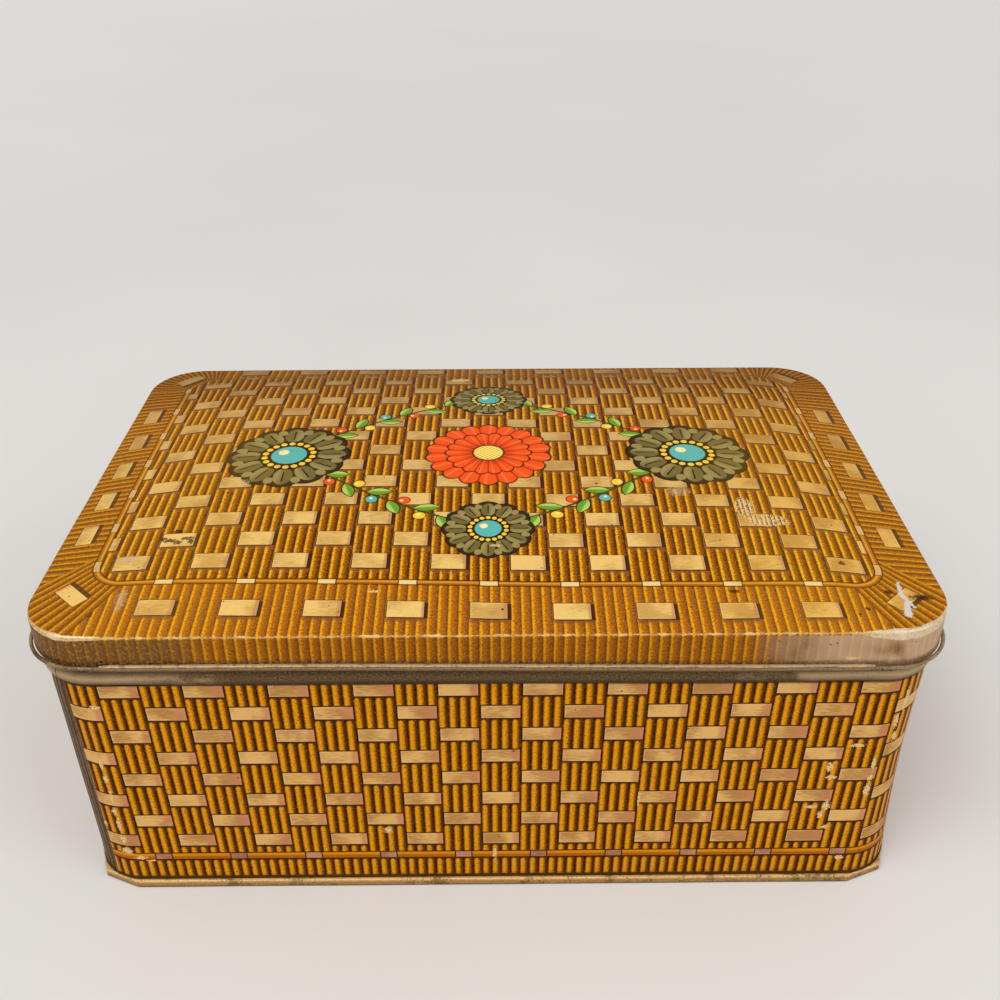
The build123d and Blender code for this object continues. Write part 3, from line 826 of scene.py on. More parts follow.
def wallPaint(firstLength, lastLength):
    # The lengths are where this blank's two seam edges lie along the print.
    bench = Bench("printedWall")
    size = wallPrint
    inks = wallInks
    place, u, v, alongEdge = readPlace(bench, 3)
    place = vector(u, v)
    inFront = least(most(u, -size["taperReach"]), size["taperReach"])
    u = u + inFront * (size["taperHeight"] - v) * size["taper"]
    cell = weave(u, v, size)
    speck = mottle(place, 1.8, 3.0, 0.75)
    stipple = mottle(place, 1.1, 3.0, 0.8)
    rub = mottle(place, 0.12, 4.0, 0.6)
    fine = mottle(place, 1.1, 4.0, 0.7)
    cane = fract(cell["across"] * size["canes"] * 0.985 + 0.03 + (speck - 0.5) * 0.3 + (stipple - 0.5) * 0.16)
    low = rise(v, size["lowestStrip"] + 0.1, size["lowestStrip"] - 0.1)
    # The bar of one cane, rounded under the strip above and flat on the strip below
    crown = (cane - 0.38) * (cane - 0.38) * 8.0
    start = blend(cell["below"], size["band"] - size["bandHalf"] - v, v < size["band"])
    end = blend(cell["above"], v - size["band"] - size["bandHalf"], low)
    end = blend(end, v - 3.2, v < size["band"])
    bar = rise(cane, 0.05, 0.12) * rise(cane, 0.74, 0.66)
    bar = bar * rise(start - crown, 0.45, 0.95) * rise(end, 0.36, 0.5)
    inField = rise(start, 0.3, 0.6) * rise(end, 0.3, 0.45)
    painted = layers(inks["line"], (ramp(cane, inks["fieldRamp"]), inField),
                     (ramp(cane + (speck - 0.5) * 0.12, inks["barRamp"]), bar),
                     (inks["fieldRamp"][1][1], rise(speck, 0.5, 0.64) * 0.6))
    grain = grainOf(u, v, 5.0)
    present = rise(v, size["lowestStrip"], size["lowestStrip"] + 0.2)
    painted = strip(painted, cell["u"], cell["v"], size["stripLength"] / 2, size["stripHeight"] / 2, inks,
                    grain, size["strip"], present)
    # The band and its ties
    drop = v - size["band"]
    band = colour(inks["band"], inks["bandLight"], rise(drop, -0.3, 0.5))
    wide = 2 * size["columnPitch"]
    run = (u - size["columnMiddle"]) % wide - wide / 2
    tie = most(abs(run) - size["tieHalfLength"], abs(drop) - size["bandHalf"])
    painted = layers(painted, (inks["line"], within(drop, size["bandHalf"] + 0.3)),
                     (band, within(drop, size["bandHalf"])), (inks["line"], rise(tie, 0.5, 0.25)),
                     (colour(inks["tie"], inks["tieDeep"], grain), rise(tie, 0.1, -0.1)),
                     (inks["bandLight"], rise(stipple, 0.44, 0.32) * 0.25),
                     (inks["stripEnd"], rise(stipple, 0.54, 0.68) * 0.3))
    # Darker brown at the foot, painted shade just under the bead, and thinner ink in clouds
    foot = rise(v + (rub - 0.5) * 3, 5.0, 2.6)
    under = rise(v + rise(u, 0.0, 60.0) * 0.5, 77.2, 78.0)
    # The bare margin beside the folded seam, with its pressed lines
    toLast = lastLength - alongEdge + (fine - 0.5) * 0.5
    margin = rise(toLast, wallWear["margin"] + 0.15, wallWear["margin"] - 0.15)
    folded = within(toLast - wallWear["margin"] + 0.3, 0.5, 0.15)
    for line in wallWear["foldLines"]:
        folded = most(folded, within(toLast - line, 0.26, 0.24))
    folded = folded * margin
    edge = rise(alongEdge - firstLength, wallWear["edge"] + 0.2, wallWear["edge"] - 0.2)
    seamTone = layers(wallWear["bare"], (bareInks["skirt"], rise(fine, 0.46, 0.62)),
                      (wallWear["bareDark"], rise(stipple + (rub - 0.5) * 0.8, 0.5, 0.68) * 0.6),
                      (wallWear["bareDark"], folded))
    atSeam = most(margin, edge)
    # Chips, rust and the rubbed corners
    pits = most(specks(place, 0.3, 0.09, 0.52), specks(place, 0.11, 0.06, 0.52))
    chips = marks(place, wallWear["chips"], (fine - 0.5) * 6 + (speck - 0.5) * 5)
    chipTone = colour(bareInks["cream"], bareInks["skirt"], rise(speck, 0.5, 0.68) * 0.6)
    # Laid on in turn: darker brown at the foot, painted shade under the bead, thinner ink in clouds, darker
    # beside the seam margin, rust, the bare seam and chips
    tone = layers(painted, (inks["foot"], foot * 0.75), (bareInks["soilAndShade"], under * 0.85),
                  (inks["soft"], rise(rub, 0.55, 0.82) * 0.28),
                  (bareInks["soilAndShade"], rise(toLast, wallWear["margin"] + 7.0, wallWear["margin"]) * 0.35),
                  (bareInks["soilAndShade"], pits * 0.85), (seamTone, atSeam), (chipTone, chips))
    bare = most(atSeam * 0.8, chips * 0.8)
    rough = blend(0.36 + (fine - 0.5) * 0.22, 0.45, bare)
    relief = speck * 0.012 + fine * 0.02 + rub * 0.2 - bare * 0.04 - folded * 0.25
    return bench.finish(tone, rough, bare * 0.35, relief, {"Coat Weight": (1 - bare) * 0.02, **varnish})


beadLook = {
    "dark": ink(40, 27, 12), "middle": ink(92, 67, 36), "rubbed": ink(122, 98, 66),
    "light": ink(182, 154, 114), "dust": ink(190, 170, 130),
    "dustyReach": 92.0, "metallic": 0.3, "roughness": 0.48,
}

dull = {"Specular IOR Level": 0.2}


def beadPaint():
    # The rolled bead: dust on its upper half, lighter across its middle, and painted shade where it meets the
    # wall and under the lid, darker still towards its foot in the dusty middle.
    bench = Bench("bodyBead")
    place, u, v = readPlace(bench)
    height = (v - (wallTop - wall["beadHeight"]) / mm) / (wall["beadHeight"] / mm)
    place = vector(u, v * 1.3)
    blotch = mottle(place, 0.13, 4.0, 0.6)
    grit = mottle(place, 1.5, 4.0, 0.85)
    grain = mottle(vector(u * 0.25, v), 1.6, 3.0, 0.7)
    look = beadLook
    dusty = rise(abs(u) + (blotch - 0.5) * 60, look["dustyReach"], look["dustyReach"] - 24)
    level = height + (blotch - 0.5) * 0.25 + (grain - 0.5) * 0.35 * dusty
    # Painted shade at both ends of this ramp, at the wall and under the lid
    tone = ramp(level, [(0.0, look["dark"]), (0.16, look["rubbed"]), (0.46, look["light"]),
                        (0.72, look["rubbed"]), (0.92, look["dark"])])
    tone = layers(tone, (look["middle"], dusty * 0.9),
                  (look["dark"], rise(grit, 0.5, 0.62) * blend(0.25, 0.85, dusty)),
                  (look["dark"], dusty * rise(height, 0.34, 0.05) * 0.6),
                  (look["dust"], rise(grit, 0.44, 0.32) * blend(0.25, 0.6, dusty)))
    rough = look["roughness"] + (grit - 0.5) * 0.3 + dusty * 0.15
    relief = grit * 0.06 * blend(0.4, 1.0, dusty) + blotch * 0.2
    return bench.finish(tone, rough, look["metallic"], relief, dull)


curlLook = {
    "dark": ink(54, 38, 22), "middle": ink(112, 86, 56), "light": ink(142, 114, 80),
    "edge": ink(190, 162, 118), "metallic": 0.3, "roughness": 0.45,
}


def curlPaint():
    # The wired edge: a light line along its crown, rubbed metal with a painted highlight, a dusty side and
    # painted shade underneath.
    bench = Bench("lidCurl")
    place, u, v = readPlace(bench)
    place = vector(u, v * 1.4)
    blotch = mottle(place, 0.12, 3.0, 0.6)
    grit = mottle(place, 1.5, 4.0, 0.85)
    lines = mottle(vector(u * 0.12, v), 2.2, 3.0, 0.7)
    look = curlLook
    # The ramp runs from painted shade underneath to the painted highlight on the crown
    tone = ramp(v * 0.5 + 0.5 + (blotch - 0.5) * 0.2,
                [(0.15, look["dark"]), (0.4, look["middle"]), (0.66, look["light"]), (0.84, look["middle"]),
                 (0.93, look["edge"])])
    tone = layers(tone, (look["dark"], rise(lines, 0.54, 0.64) * 0.5),
                  (look["dark"], rise(grit, 0.52, 0.64) * 0.6),
                  (look["edge"], rise(grit, 0.44, 0.32) * 0.5))
    rough = look["roughness"] + (grit - 0.5) * 0.3
    return bench.finish(tone, rough, look["metallic"], grit * 0.05 + lines * 0.03 + blotch * 0.1, dull)


def plainTin(name, light, mid, dark, metallic, roughness, scale, relief=0.12):
    # Bare tinplate: mottled, with fine scratches along the sheet.
    bench = Bench(name)
    spot = bench.make("ShaderNodeTexCoord", None, None, output="Object")
    big = mottle(spot, 60.0 * scale, 4.0, 0.6)
    small = mottle(spot, 700.0 * scale, 3.0, 0.7)
    lines = mottle(vectors("MULTIPLY", spot, (90.0, 90.0, 2600.0)), 1.0, 2.0, 0.6)
    tone = ramp(big + (small - 0.5) * 0.45 + (lines - 0.5) * 0.35, [(0.3, dark), (0.48, mid), (0.68, light)])
    rough = roughness + (small - 0.5) * 0.3 + (big - 0.5) * 0.2
    height = small * 0.05 + lines * 0.02 + big * relief
    return bench.finish(tone, rough, metallic, height, {"Specular IOR Level": 0.3})


# Lid shell

lid = {
    "cornerRadius": 18.0 * mm, "foldRadius": 1.0 * mm, "longPower": 4,
    "stationSpacing": 2.6 * mm, "cornerSteps": 16, "domeRings": 46, "flatInset": 7.0 * mm,
    "notchWidth": 13.0 * mm, "curlOpening": 45.0, "hookEnd": 285, "curlTaper": 7.0 * mm,
    "dent": 0.22 * mm, "edgeWave": 0.16 * mm, "pressed": 1.5 * mm,
}


def domeHeight(x, y):
    along = 1 - np.minimum(np.abs(x / lidHalfLength), 1) ** lid["longPower"]
    across = 1 - np.minimum(np.abs(y / lidHalfWidth), 1) ** 2
    return foldHeight + (domeTop - foldHeight) * along * across


def pressed(x, y):
    # How far the skirt's foot has been pressed down: not at the hinge or the front left corner, and
    # most at the front right one.
    along = np.clip((x + 70 * mm) / (170 * mm), 0, 1)
    forward = np.clip((50 * mm - y) / (115 * mm), 0, 1)
    return lid["pressed"] * eased(along) * eased(forward)


def dentLid(points):
    # Small dents in the dome and waves in the skirt, never outside the frame's own box.
    flat = points.reshape(-1, 3)
    for i, (x, y, z) in enumerate(flat):
        edge = min(lidHalfLength - abs(x), lidHalfWidth - abs(y))
        inside = min(max(edge / (12 * mm), 0), 1)
        flat[i, 2] -= lid["dent"] * inside * (0.5 + 0.5 * soft(x, y, 0, 34 * mm, 2.1))
        drawn = lid["edgeWave"] * (0.5 + 0.5 * soft(x, y, z, 22 * mm, 5.3)) * (1 - inside)
        flat[i, 0] -= math.copysign(drawn, x) * (abs(x) > lidHalfLength - 20 * mm)
        flat[i, 1] -= math.copysign(drawn, y) * (abs(y) > lidHalfWidth - 20 * mm)
    return points


def lidShell(printed, plain, curl):
    halves = (lidHalfLength, lidHalfWidth, lid["cornerRadius"])
    outline = walkOutline(*halves, -135, 225, lid["stationSpacing"], lid["cornerSteps"])
    points, out = outline[0][:-1], outline[1][:-1]
    fold = lid["foldRadius"]
    inner = points - out * lid["flatInset"]
    steps = lid["domeRings"]
    rings = []
    places = []

    def ring(xy, z, flat, aboveFoot):
        # flat is where the print lies on the sheet laid out.
        rings.append(np.column_stack([xy, z]))
        places.append(np.column_stack([flat / mm, aboveFoot]))

    def onDome(xy, drop):
        ring(xy, domeHeight(*xy.T) - drop, xy, farAbove)

    def dome(order, drop):
        for i in order:
            onDome(inner * (i / steps), drop)

    def domeEdge(order, drop):
        for k in order:
            onDome(points + out * (-lid["flatInset"] + (lid["flatInset"] - fold) * k / 4), drop)

    def bend(order, drop, radius):
        for angle in order:
            turn = math.radians(angle)
            z = domeHeight(*(points - out * fold).T) - drop - radius * (1 - math.cos(turn))
            flat = points + out * (-fold + fold * turn)
            ring(points + out * (-fold + radius * math.sin(turn)), z, flat, farAbove)

    def skirt(order, offset):
        top = domeHeight(*(points - out * fold).T) - fold
        bottom = wireHeight - pressed(*points.T)
        for k in order:
            z = top + (bottom - top) * k / 5
            flat = points + out * (fold * (math.pi / 2 - 1) + top - z)[:, None]
            ring(points + out * offset, z, flat, (z - bottom) / mm)

    farAbove = np.full(len(points), 20.0)
    dome(range(1, steps + 1), 0.0)
    domeEdge(range(1, 5), 0.0)
    bend((15, 30, 45, 60, 75, 90), 0.0, fold)
    skirt(range(1, 6), 0.0)
    outerRings = len(rings)
    skirt(range(5, 0, -1), -sheet)
    bend((90, 60, 30), sheet, fold - sheet)
    domeEdge(range(4, 0, -1), sheet)
    dome(range(steps, 0, -1), sheet)
    finishes = [0 if i < outerRings - 1 else 1 for i in range(len(rings) - 1)]
    work = Tinwork()
    work.grid(dentLid(np.array(rings)), np.array(places), finishes, closedStations=True, poles=True)
    addCurls(work)
    return work.build("lidShell", [printed, plain, curl])


def addCurls(work):
    # The skirt's foot curled outwards round the wire on the four straight sides, with the hinges' gaps.
    # Towards the bare corners the roll opens out to a hook under the wire.
    closedEnd = 540 - lid["curlOpening"]
    straightX = lidHalfLength - lid["cornerRadius"]
    straightY = lidHalfWidth - lid["cornerRadius"]
    strapMiddle = sum(corner.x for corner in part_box("hinge_strap_right")) / 2
    gap = lid["notchWidth"] / 2
    runs = [((0, -1), -straightX, straightX)] + [((out, 0), -straightY, straightY) for out in (1, -1)]
    ends = (-straightX, -strapMiddle - gap, -strapMiddle + gap,
            strapMiddle - gap, strapMiddle + gap, straightX)
    runs += [((0, 1), start, stop) for start, stop in zip(ends[::2], ends[1::2])]
    for out, start, stop in runs:
        count = max(2, round((stop - start) / (2.5 * mm)))
        reach = straightX if out[1] else straightY
        base = lidHalfWidth if out[1] else lidHalfLength
        stations = []
        for along in np.linspace(start, stop, count + 1):
            closed = eased(min((reach - abs(along)) / lid["curlTaper"], 1))
            turns = np.radians(np.linspace(180, lid["hookEnd"] + (closedEnd - lid["hookEnd"]) * closed, 17))
            loose = 1 + 0.05 * soft(along, out[0], out[1], 17 * mm, 3.3)
            outer = [(curlInner + curlOuter * loose * math.cos(t), curlOuter * math.sin(t)) for t in turns]
            inner = [(curlInner + curlInner * math.cos(t), curlInner * math.sin(t)) for t in turns[::-1]]
            section = []
            for offset, height in outer + inner:
                offset = min(offset, curlInner + curlOuter)
                xy = (along, out[1] * (base + offset)) if out[1] else (out[0] * (base + offset), along)
                section.append((*xy, wireHeight + height - pressed(*xy)))
            stations.append(section)
        grid = np.array(stations).transpose(1, 0, 2)
        places = np.zeros(grid.shape)
        places[..., 0] = grid[..., 0] / mm if out[1] else grid[..., 1] / mm
        places[..., 1] = (grid[..., 2] - wireHeight + pressed(grid[..., 0], grid[..., 1])) / mm
        places[..., 2] = 10.0
        work.grid(grid, places, [2] * len(grid), closedRings=True, capped=2)


# Lid wire

def lidWire(steel):
    wire = {"cornerSlack": 0.5 * mm, "sides": 12}
    halves = (lidHalfLength + curlInner, lidHalfWidth + curlInner)
    bend = lid["cornerRadius"] + curlInner - wire["cornerSlack"]
    outline = walkOutline(*halves, bend, -135, 225, 3 * mm, 14)
    points, out = outline[0][:-1], outline[1][:-1]
    rings = []
    for k in range(wire["sides"]):
        turn = 2 * math.pi * k / wire["sides"]
        xy = points + out * wireRadius * math.cos(turn)
        rings.append(np.column_stack([xy, wireHeight + wireRadius * math.sin(turn) - pressed(*xy.T)]))
    grid = np.array(rings)
    work = Tinwork()
    work.grid(grid, grid / mm, [0] * len(rings), closedRings=True, closedStations=True)
    return work.build("lidWire", [steel])


# Body walls

wallLow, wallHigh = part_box("front_right_wall")

wall = {
    "cornerRadius": 15.7 * mm, "beadProud": 1.4 * mm, "beadHeight": 6.3 * mm, "seamTurn": 33.0,
    "groove": 0.4 * mm, "stationSpacing": 3.0 * mm, "cornerSteps": 16, "heightSteps": 18,
    "lockDepth": 1.75 * mm, "lockWidth": 4.4 * mm, "lockLow": 3.4 * mm, "lockHigh": 71.5 * mm,
    "dent": 0.3 * mm, "sagTop": 72 * mm, "leftSag": 2.2 * mm, "rightSag": 1.0 * mm,
}
wallTop = wallHigh.z
wallHalfLength = wallHigh.x - wall["beadProud"]
wallHalfWidth = -wallLow.y - wall["beadProud"]


def settled(x, y, z):
    # How far the old body has sagged sideways: inwards at the foot of its left side, and a little
    # inwards halfway up its right side. Nothing moves at the height of the collar.
    depth = np.clip((wall["sagTop"] - z) / (wall["sagTop"] - 8 * mm), 0, 1)
    leftShare = np.clip((-x - 40 * mm) / (wallHalfLength - 40 * mm), 0, 1)
    rightShare = np.clip((x - 40 * mm) / (wallHalfLength - 40 * mm), 0, 1)
    frontShare = np.clip((40 * mm - y) / (80 * mm), 0, 1)
    toRight = wall["leftSag"] * depth ** 0.85 * leftShare ** 1.5
    toLeft = wall["rightSag"] * (np.sin(math.pi * depth ** 0.8) + 0.4 * depth) * rightShare ** 1.5
    return (toRight - toLeft) * (0.25 + 0.75 * frontShare)


def arcThrough(start, middle, end, count):
    # Points on the arc through three points.
    (ax, ay), (bx, by), (cx, cy) = start, middle, end
    d = 2 * (ax * (by - cy) + bx * (cy - ay) + cx * (ay - by))
    a, b, c = (x * x + y * y for x, y in (start, middle, end))
    ux = (a * (by - cy) + b * (cy - ay) + c * (ay - by)) / d
    uy = (a * (cx - bx) + b * (ax - cx) + c * (bx - ax)) / d
    radius = math.hypot(ax - ux, ay - uy)
    first, last = math.atan2(ay - uy, ax - ux), math.atan2(cy - uy, cx - ux)
    if last > first:
        last -= 2 * math.pi
    turns = np.linspace(first, last, count)
    return [(ux + radius * math.cos(t), uy + radius * math.sin(t)) for t in turns]


def wallProfile():
    # Offset outwards from the wall's face and height, once round the sheet's section, with the finishes.
    low = wallLow.z
    foot = wallTop - wall["beadHeight"]
    middle = wallTop - wall["beadHeight"] / 2
    thick = 1.35 * sheet
    play = 2 * 0.05 * mm
    heights = np.linspace(low, foot - 0.5 * mm, wall["heightSteps"])
    outer = arcThrough((-sheet, wallTop), (wall["beadProud"], middle), (play, foot), 13)
    inner = arcThrough((0, wallTop - thick), (wall["beadProud"] - sheet, middle), (play, foot + thick), 7)
    profile = [(-sheet, z) for z in heights] + outer + inner[::-1] + [(0.0, z) for z in heights[::-1]]
    count = len(heights)
    return profile, [2] * count + [1] * (len(outer) + len(inner)) + [0] * (count - 1) + [2]


def wallBlank(name, startTurn, endTurn, startLength, printed, bead, plain):
    halves = (wallHalfLength, wallHalfWidth, wall["cornerRadius"])
    spacing = wall["stationSpacing"]
    points, out, walked = walkOutline(*halves, startTurn, endTurn, spacing, wall["cornerSteps"])
    profile, finishes = wallProfile()
    foot = wallTop - wall["beadHeight"]
    rings = []
    places = []
    lengths = startLength + walked
    for offset, height in profile:
        offsets = np.full(len(points), offset)
        heights = np.full(len(points), height)
        if height > foot - 0.1 * mm and offset > 0:
            # The bead is rolled a little unevenly.
            uneven = lumps(lengths, 45 * mm, 1.7)
            ripple = lumps(lengths, 9 * mm, 4.1)
            share = (wallTop - height) / wall["beadHeight"]
            lower = np.clip(lengths / (60 * mm), 0, 1) * np.clip((165 * mm - lengths) / (35 * mm), 0, 1)
            heights = heights + share * (0.4 * mm * uneven + 0.12 * mm * ripple - 0.45 * mm * lower)
            offsets = offsets * (0.88 + 0.1 * uneven + 0.04 * ripple)
        elif 6 * mm < height < foot - 6 * mm:
            calm = math.sin(math.pi * (height - 6 * mm) / (foot - 12 * mm))
            offsets = offsets + wall["dent"] * calm * lumps(lengths, 38 * mm, 8.8, height)
        xy = points + out * offsets[:, None]
        sag = settled(*xy.T, heights)
        xy[:, 0] += sag
        rings.append(np.column_stack([xy, heights]))
        # The front's print keeps its place, so it slides along the sheet by what the sheet has moved.
        slide = sag * np.clip(1 - (lengths - wallHalfLength) / (20 * mm), 0, 1)
        places.append(np.column_stack([(lengths + slide) / mm, np.full(len(xy), height / mm), lengths / mm]))
    work = Tinwork()
    work.grid(np.array(rings), np.array(places), finishes, closedRings=True, capped=2)
    # The folded lock behind the seam, which also closes the groove between the two blanks
    turn = math.degrees(wall["lockWidth"] / wall["cornerRadius"])
    groove = math.degrees(wall["groove"] / wall["cornerRadius"])
    lockStart, lockEnd = startTurn - 2 * groove, startTurn + turn
    points, out = walkOutline(*halves, lockStart, lockEnd, spacing, 60)[:2]
    rings = []
    low, high, deep = wall["lockLow"], wall["lockHigh"], -wall["lockDepth"]
    for offset, height in ((-sheet, low), (-sheet, high), (deep, high), (deep, low)):
        xy = points + out * offset
        xy[:, 0] += settled(*xy.T, height)
        rings.append(np.column_stack([xy, np.full(len(points), height)]))
    grid = np.array(rings)
    work.grid(grid, grid / mm, [2] * 4, closedRings=True, capped=2)
    return work.build(name, [printed, bead, plain])


def lengthAt(turn):
    # How far round the wall a direction lies from the middle of the front.
    radius = wall["cornerRadius"]
    front = wallHalfLength - radius
    if turn < -90:
        return -front - radius * math.radians(-90 - turn)
    return front + radius * math.pi / 2 + 2 * (wallHalfWidth - radius) + radius * math.radians(turn)


# Base: the panel, and the seam rim that the tin stands on, folded in flats round the corners

base = {
    "rimProud": 1.35 * mm, "flatProud": 0.6 * mm, "rimHeight": 2.8 * mm, "edgeRound": 0.5 * mm,
    "wave": 0.15 * mm, "inset": 0.45 * mm, "recess": 2.8 * mm, "border": 9.0 * mm, "step": 0.9 * mm,
    "light": ink(218, 176, 112), "middle": ink(166, 126, 70), "dark": ink(86, 58, 30), "metallic": 0.25,
}


def rimPaint():
    bench = Bench("rimTin")
    place, _, v, depth = readPlace(bench, 3)
    blotch = mottle(place, 0.16, 4.0, 0.62)
    grit = mottle(place, 1.5, 4.0, 0.75)
    dark, light = base["dark"], base["light"]
    # Painted highlight on the rim's upper part, painted shade at its foot and where it tucks in against the
    # wall, with blotches and grit
    tone = layers(base["middle"], (light, rise(v + (blotch - 0.5) * 1.2, 1.7, 2.5)),
                  (dark, rise(v, 1.1, 0.2) * 0.9),
                  (dark, rise(blotch + (grit - 0.5) * 0.5, 0.5, 0.66) * 0.7),
                  (dark, rise(grit, 0.52, 0.64) * 0.5),
                  (light, rise(grit, 0.46, 0.34) * 0.4), (bareInks["soilAndShade"], rise(depth, 0.5, 0.15) * 0.85))
    return bench.finish(tone, 0.46 + (grit - 0.5) * 0.3, base["metallic"], grit * 0.05 + blotch * 0.25, dull)


def quarterTurn(offset, height, radius, startAngle, endAngle, count=5):
    # Points of a rounded edge about a centre, in offset outwards and height.
    turns = np.radians(np.linspace(startAngle, endAngle, count))
    return [(offset + radius * math.cos(t), height + radius * math.sin(t)) for t in turns]


def basePiece(rim, plain):
    halves = (wallHalfLength, wallHalfWidth, wall["cornerRadius"])
    points, out, walked = walkOutline(*halves, -180, 180, 3.0 * mm, 20)
    points, out, walked = points[:-1], out[:-1], walked[:-1]
    turns = np.degrees(np.arctan2(out[:, 1], out[:, 0])) % 90
    turns = np.radians(np.minimum(turns, 90 - turns))
    drawnIn = base["wave"] * (0.5 + 0.5 * lumps(walked, 26 * mm, 6.4))
    rings = []
    places = []
    finishes = []

    def ring(offset, height, finish, folded=False, scale=1.0):
        reach = np.full(len(points), offset)
        heights = np.full(len(points), height)
        if folded:
            # Straight along the sides, with two flats round each corner
            drawn = base["rimProud"] - offset
            side = (wall["cornerRadius"] + base["rimProud"] - drawn) / np.cos(turns)
            flat = (wall["cornerRadius"] + base["flatProud"] - drawn) / np.cos(turns - math.radians(22.5))
            reach = np.minimum(side, flat) - wall["cornerRadius"]
            reach -= drawnIn
            heights -= 0.6 * drawnIn * height / base["rimHeight"]
        xy = (points + out * reach[:, None]) * scale
        xy[:, 0] += settled(*xy.T, heights)
        rings.append(np.column_stack([xy, heights]))
        places.append(np.column_stack([walked / mm, heights / mm, reach / mm]))
        finishes.append(finish)

    inner = -base["inset"] - sheet
    panelTop = base["recess"] + sheet
    fieldEdge = -base["inset"] - base["border"]
    for scale in (0.25, 0.5, 0.75, 1.0):
        ring(fieldEdge - sheet, base["recess"] + base["step"], 1, scale=scale)
    ring(fieldEdge - sheet, base["recess"] + 0.2 * mm, 1)
    ring(fieldEdge - 0.7 * sheet, base["recess"], 1)
    ring(inner - 0.2 * mm, base["recess"], 1)
    ring(inner, base["recess"] - 0.2 * mm, 0)
    for offset, height in quarterTurn(inner + 0.3 * mm, 0.3 * mm, 0.3 * mm, 180, 270, 4):
        ring(offset, height, 0)
    corner = base["edgeRound"]
    proud = base["rimProud"] - corner
    for offset, height in quarterTurn(proud, corner, corner, 270, 360):
        ring(offset, height, 0, folded=True)
    for offset, height in quarterTurn(proud, base["rimHeight"] - corner, corner, 0, 90):
        ring(offset, height, 0, folded=True)
    ring(0.06 * mm, base["rimHeight"] - 0.22 * mm, 0)
    ring(0.06 * mm, 0.42 * mm, 1)
    ring(-base["inset"], 0.42 * mm, 1)
    for offset, height in quarterTurn(-base["inset"] - 0.25 * mm, panelTop - 0.25 * mm, 0.25 * mm, 0, 90, 4):
        ring(offset, height, 1)
    ring(fieldEdge, panelTop, 1)
    ring(fieldEdge, panelTop + base["step"] - 0.2 * mm, 1)
    for scale in (1.0, 0.75, 0.5, 0.25):
        ring(fieldEdge - 0.3 * sheet, panelTop + base["step"], 1, scale=scale)
    work = Tinwork()
    work.grid(np.array(rings), np.array(places), finishes[:-1], closedStations=True, poles=True)
    return work.build("basePiece", [rim, plain])


# Build

lidMaterial = lidPaint()
beadMaterial = beadPaint()
curlMaterial = curlPaint()
insideInks = (ink(190, 180, 160), ink(164, 152, 130), ink(124, 110, 86))
steelInks = (ink(178, 152, 116), ink(140, 114, 80), ink(84, 62, 38))
insideMaterial = plainTin("insideTin", *insideInks, metallic=0.6, roughness=0.42, scale=0.6, relief=0.3)
rimMaterial = rimPaint()
steelMaterial = plainTin("wireSteel", *steelInks, metallic=0.35, roughness=0.42, scale=1.6)
print("materials made")

shell = lidShell(lidMaterial, insideMaterial, curlMaterial)
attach(shell, "lid")
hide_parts("lid_shell")

wire = lidWire(steelMaterial)
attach(wire, "lid")
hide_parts("lid_wire")
print("lid made")

grooveTurn = math.degrees(wall["groove"] / wall["cornerRadius"])
firstLine = -90 - wall["seamTurn"]
lastLine = 90 - wall["seamTurn"]
blankLength = lengthAt(lastLine - grooveTurn) - lengthAt(firstLine)
for name, node, start in (("frontRightWall", "front_right_wall", firstLine),
                          ("backLeftWall", "back_left_wall", lastLine)):
    first = lengthAt(start)
    printed = wallPaint(first / mm, (first + blankLength) / mm)
    piece = wallBlank(name, start, start + 180 - grooveTurn, first, printed, beadMaterial, insideMaterial)
    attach(piece, "tin")
    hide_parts(node)
print("walls made")

bottom = basePiece(rimMaterial, insideMaterial)
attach(bottom, "tin")
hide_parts("base_panel")

for node, material in (("neck_collar", insideMaterial), ("hinge_strap_left", steelMaterial),
                       ("hinge_strap_right", steelMaterial)):
    shape = frame["nodes"][node]
    shape.data.materials.clear()
    shape.data.materials.append(material)
print("base, collar and straps made")


# Floor, light and camera

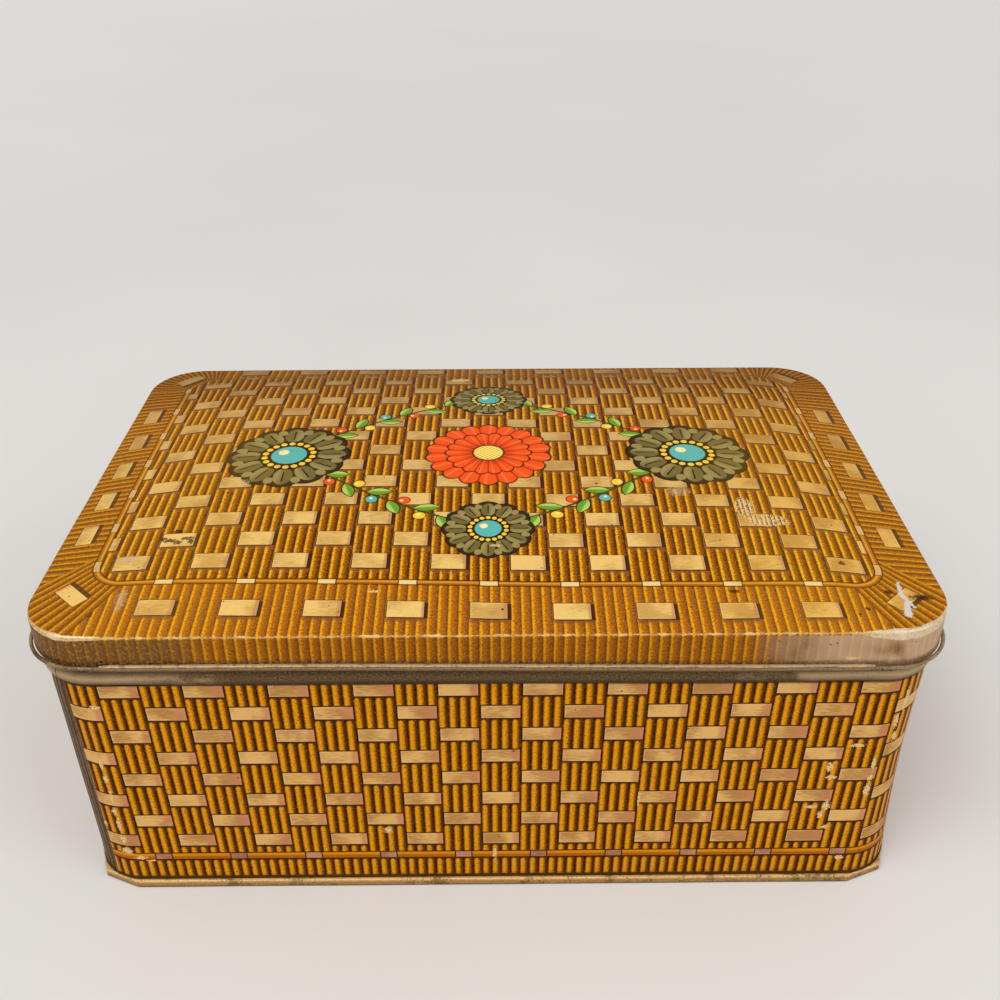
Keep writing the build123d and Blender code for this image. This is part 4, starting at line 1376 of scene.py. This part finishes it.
def stageFloor():
    bench = Bench("paleFloor")
    spot = bench.make("ShaderNodeTexCoord", None, None, output="Object")
    cloud = mottle(spot, 3.0, 2.0)
    # The floor's colour lightens with distance from the tin: painted shade near it and painted light further
    # out
    near = ramp(cloud, [(0.3, ink(214, 212, 209)), (0.7, ink(220, 218, 215))])
    away = vectors("LENGTH", spot, None, output="Value")
    material = bench.finish(colour(near, ink(246, 245, 243), rise(away, 0.4, 2.4)), 0.9)
    mesh = bpy.data.meshes.new("floor")
    reach = 6.0
    corners = [(-reach, -reach, 0), (reach, -reach, 0), (reach, reach, 0), (-reach, reach, 0)]
    mesh.from_pydata(corners, [], [(0, 1, 2, 3)])
    mesh.materials.append(material)
    floor = addThing("floor", mesh)


def areaLight(name, spot, target, size, power):
    lamp = bpy.data.lights.new(name, "AREA")
    lamp.energy = power
    lamp.shape = "RECTANGLE"
    lamp.size, lamp.size_y = size
    holder = addThing(name, lamp)
    holder.location = spot
    holder.rotation_euler = (Vector(target) - Vector(spot)).to_track_quat("-Z", "Y").to_euler()


def world():
    scene = bpy.context.scene
    scene.world = bpy.data.worlds.new("softStudio")
    scene.world.use_nodes = True
    inputs = scene.world.node_tree.nodes["Background"].inputs
    inputs["Color"].default_value = (1.0, 0.985, 0.965, 1)
    inputs["Strength"].default_value = 0.55


camera = {
    "place": (0.002, -0.321, 0.280), "pitch": 31.02, "yaw": 0.30, "roll": -0.23,
    "focalPixels": 1150.0, "imagePixels": 1000.0, "sensor": 36.0,
}


def placeCamera():
    lens = bpy.data.cameras.new("camera")
    lens.sensor_width = camera["sensor"]
    lens.lens = camera["focalPixels"] * camera["sensor"] / camera["imagePixels"]
    lens.clip_start = 0.01
    holder = addThing("camera", lens)
    holder.location = camera["place"]
    pitch, yaw, roll = (math.radians(camera[key]) for key in ("pitch", "yaw", "roll"))
    forward = Vector((math.sin(yaw) * math.cos(pitch), math.cos(yaw) * math.cos(pitch), -math.sin(pitch)))
    right = Vector((math.cos(yaw), -math.sin(yaw), 0))
    up = right.cross(forward)
    right, up = right * math.cos(roll) + up * math.sin(roll), up * math.cos(roll) - right * math.sin(roll)
    turn = np.array([right, up, -forward]).T
    holder.rotation_euler = Matrix(turn.tolist()).to_euler()
    bpy.context.scene.camera = holder


stageFloor()
world()
areaLight("keyLight", (-1.25, -1.75, 3.25), (0, 0, 0.05), (3.0, 2.5), 92)
areaLight("fillLight", (1.8, -1.2, 1.4), (0, 0, 0.05), (1.6, 1.6), 16)
placeCamera()
bpy.context.scene.view_settings.view_transform = "Standard"
print("stage made")

bpy.context.view_layer.update()
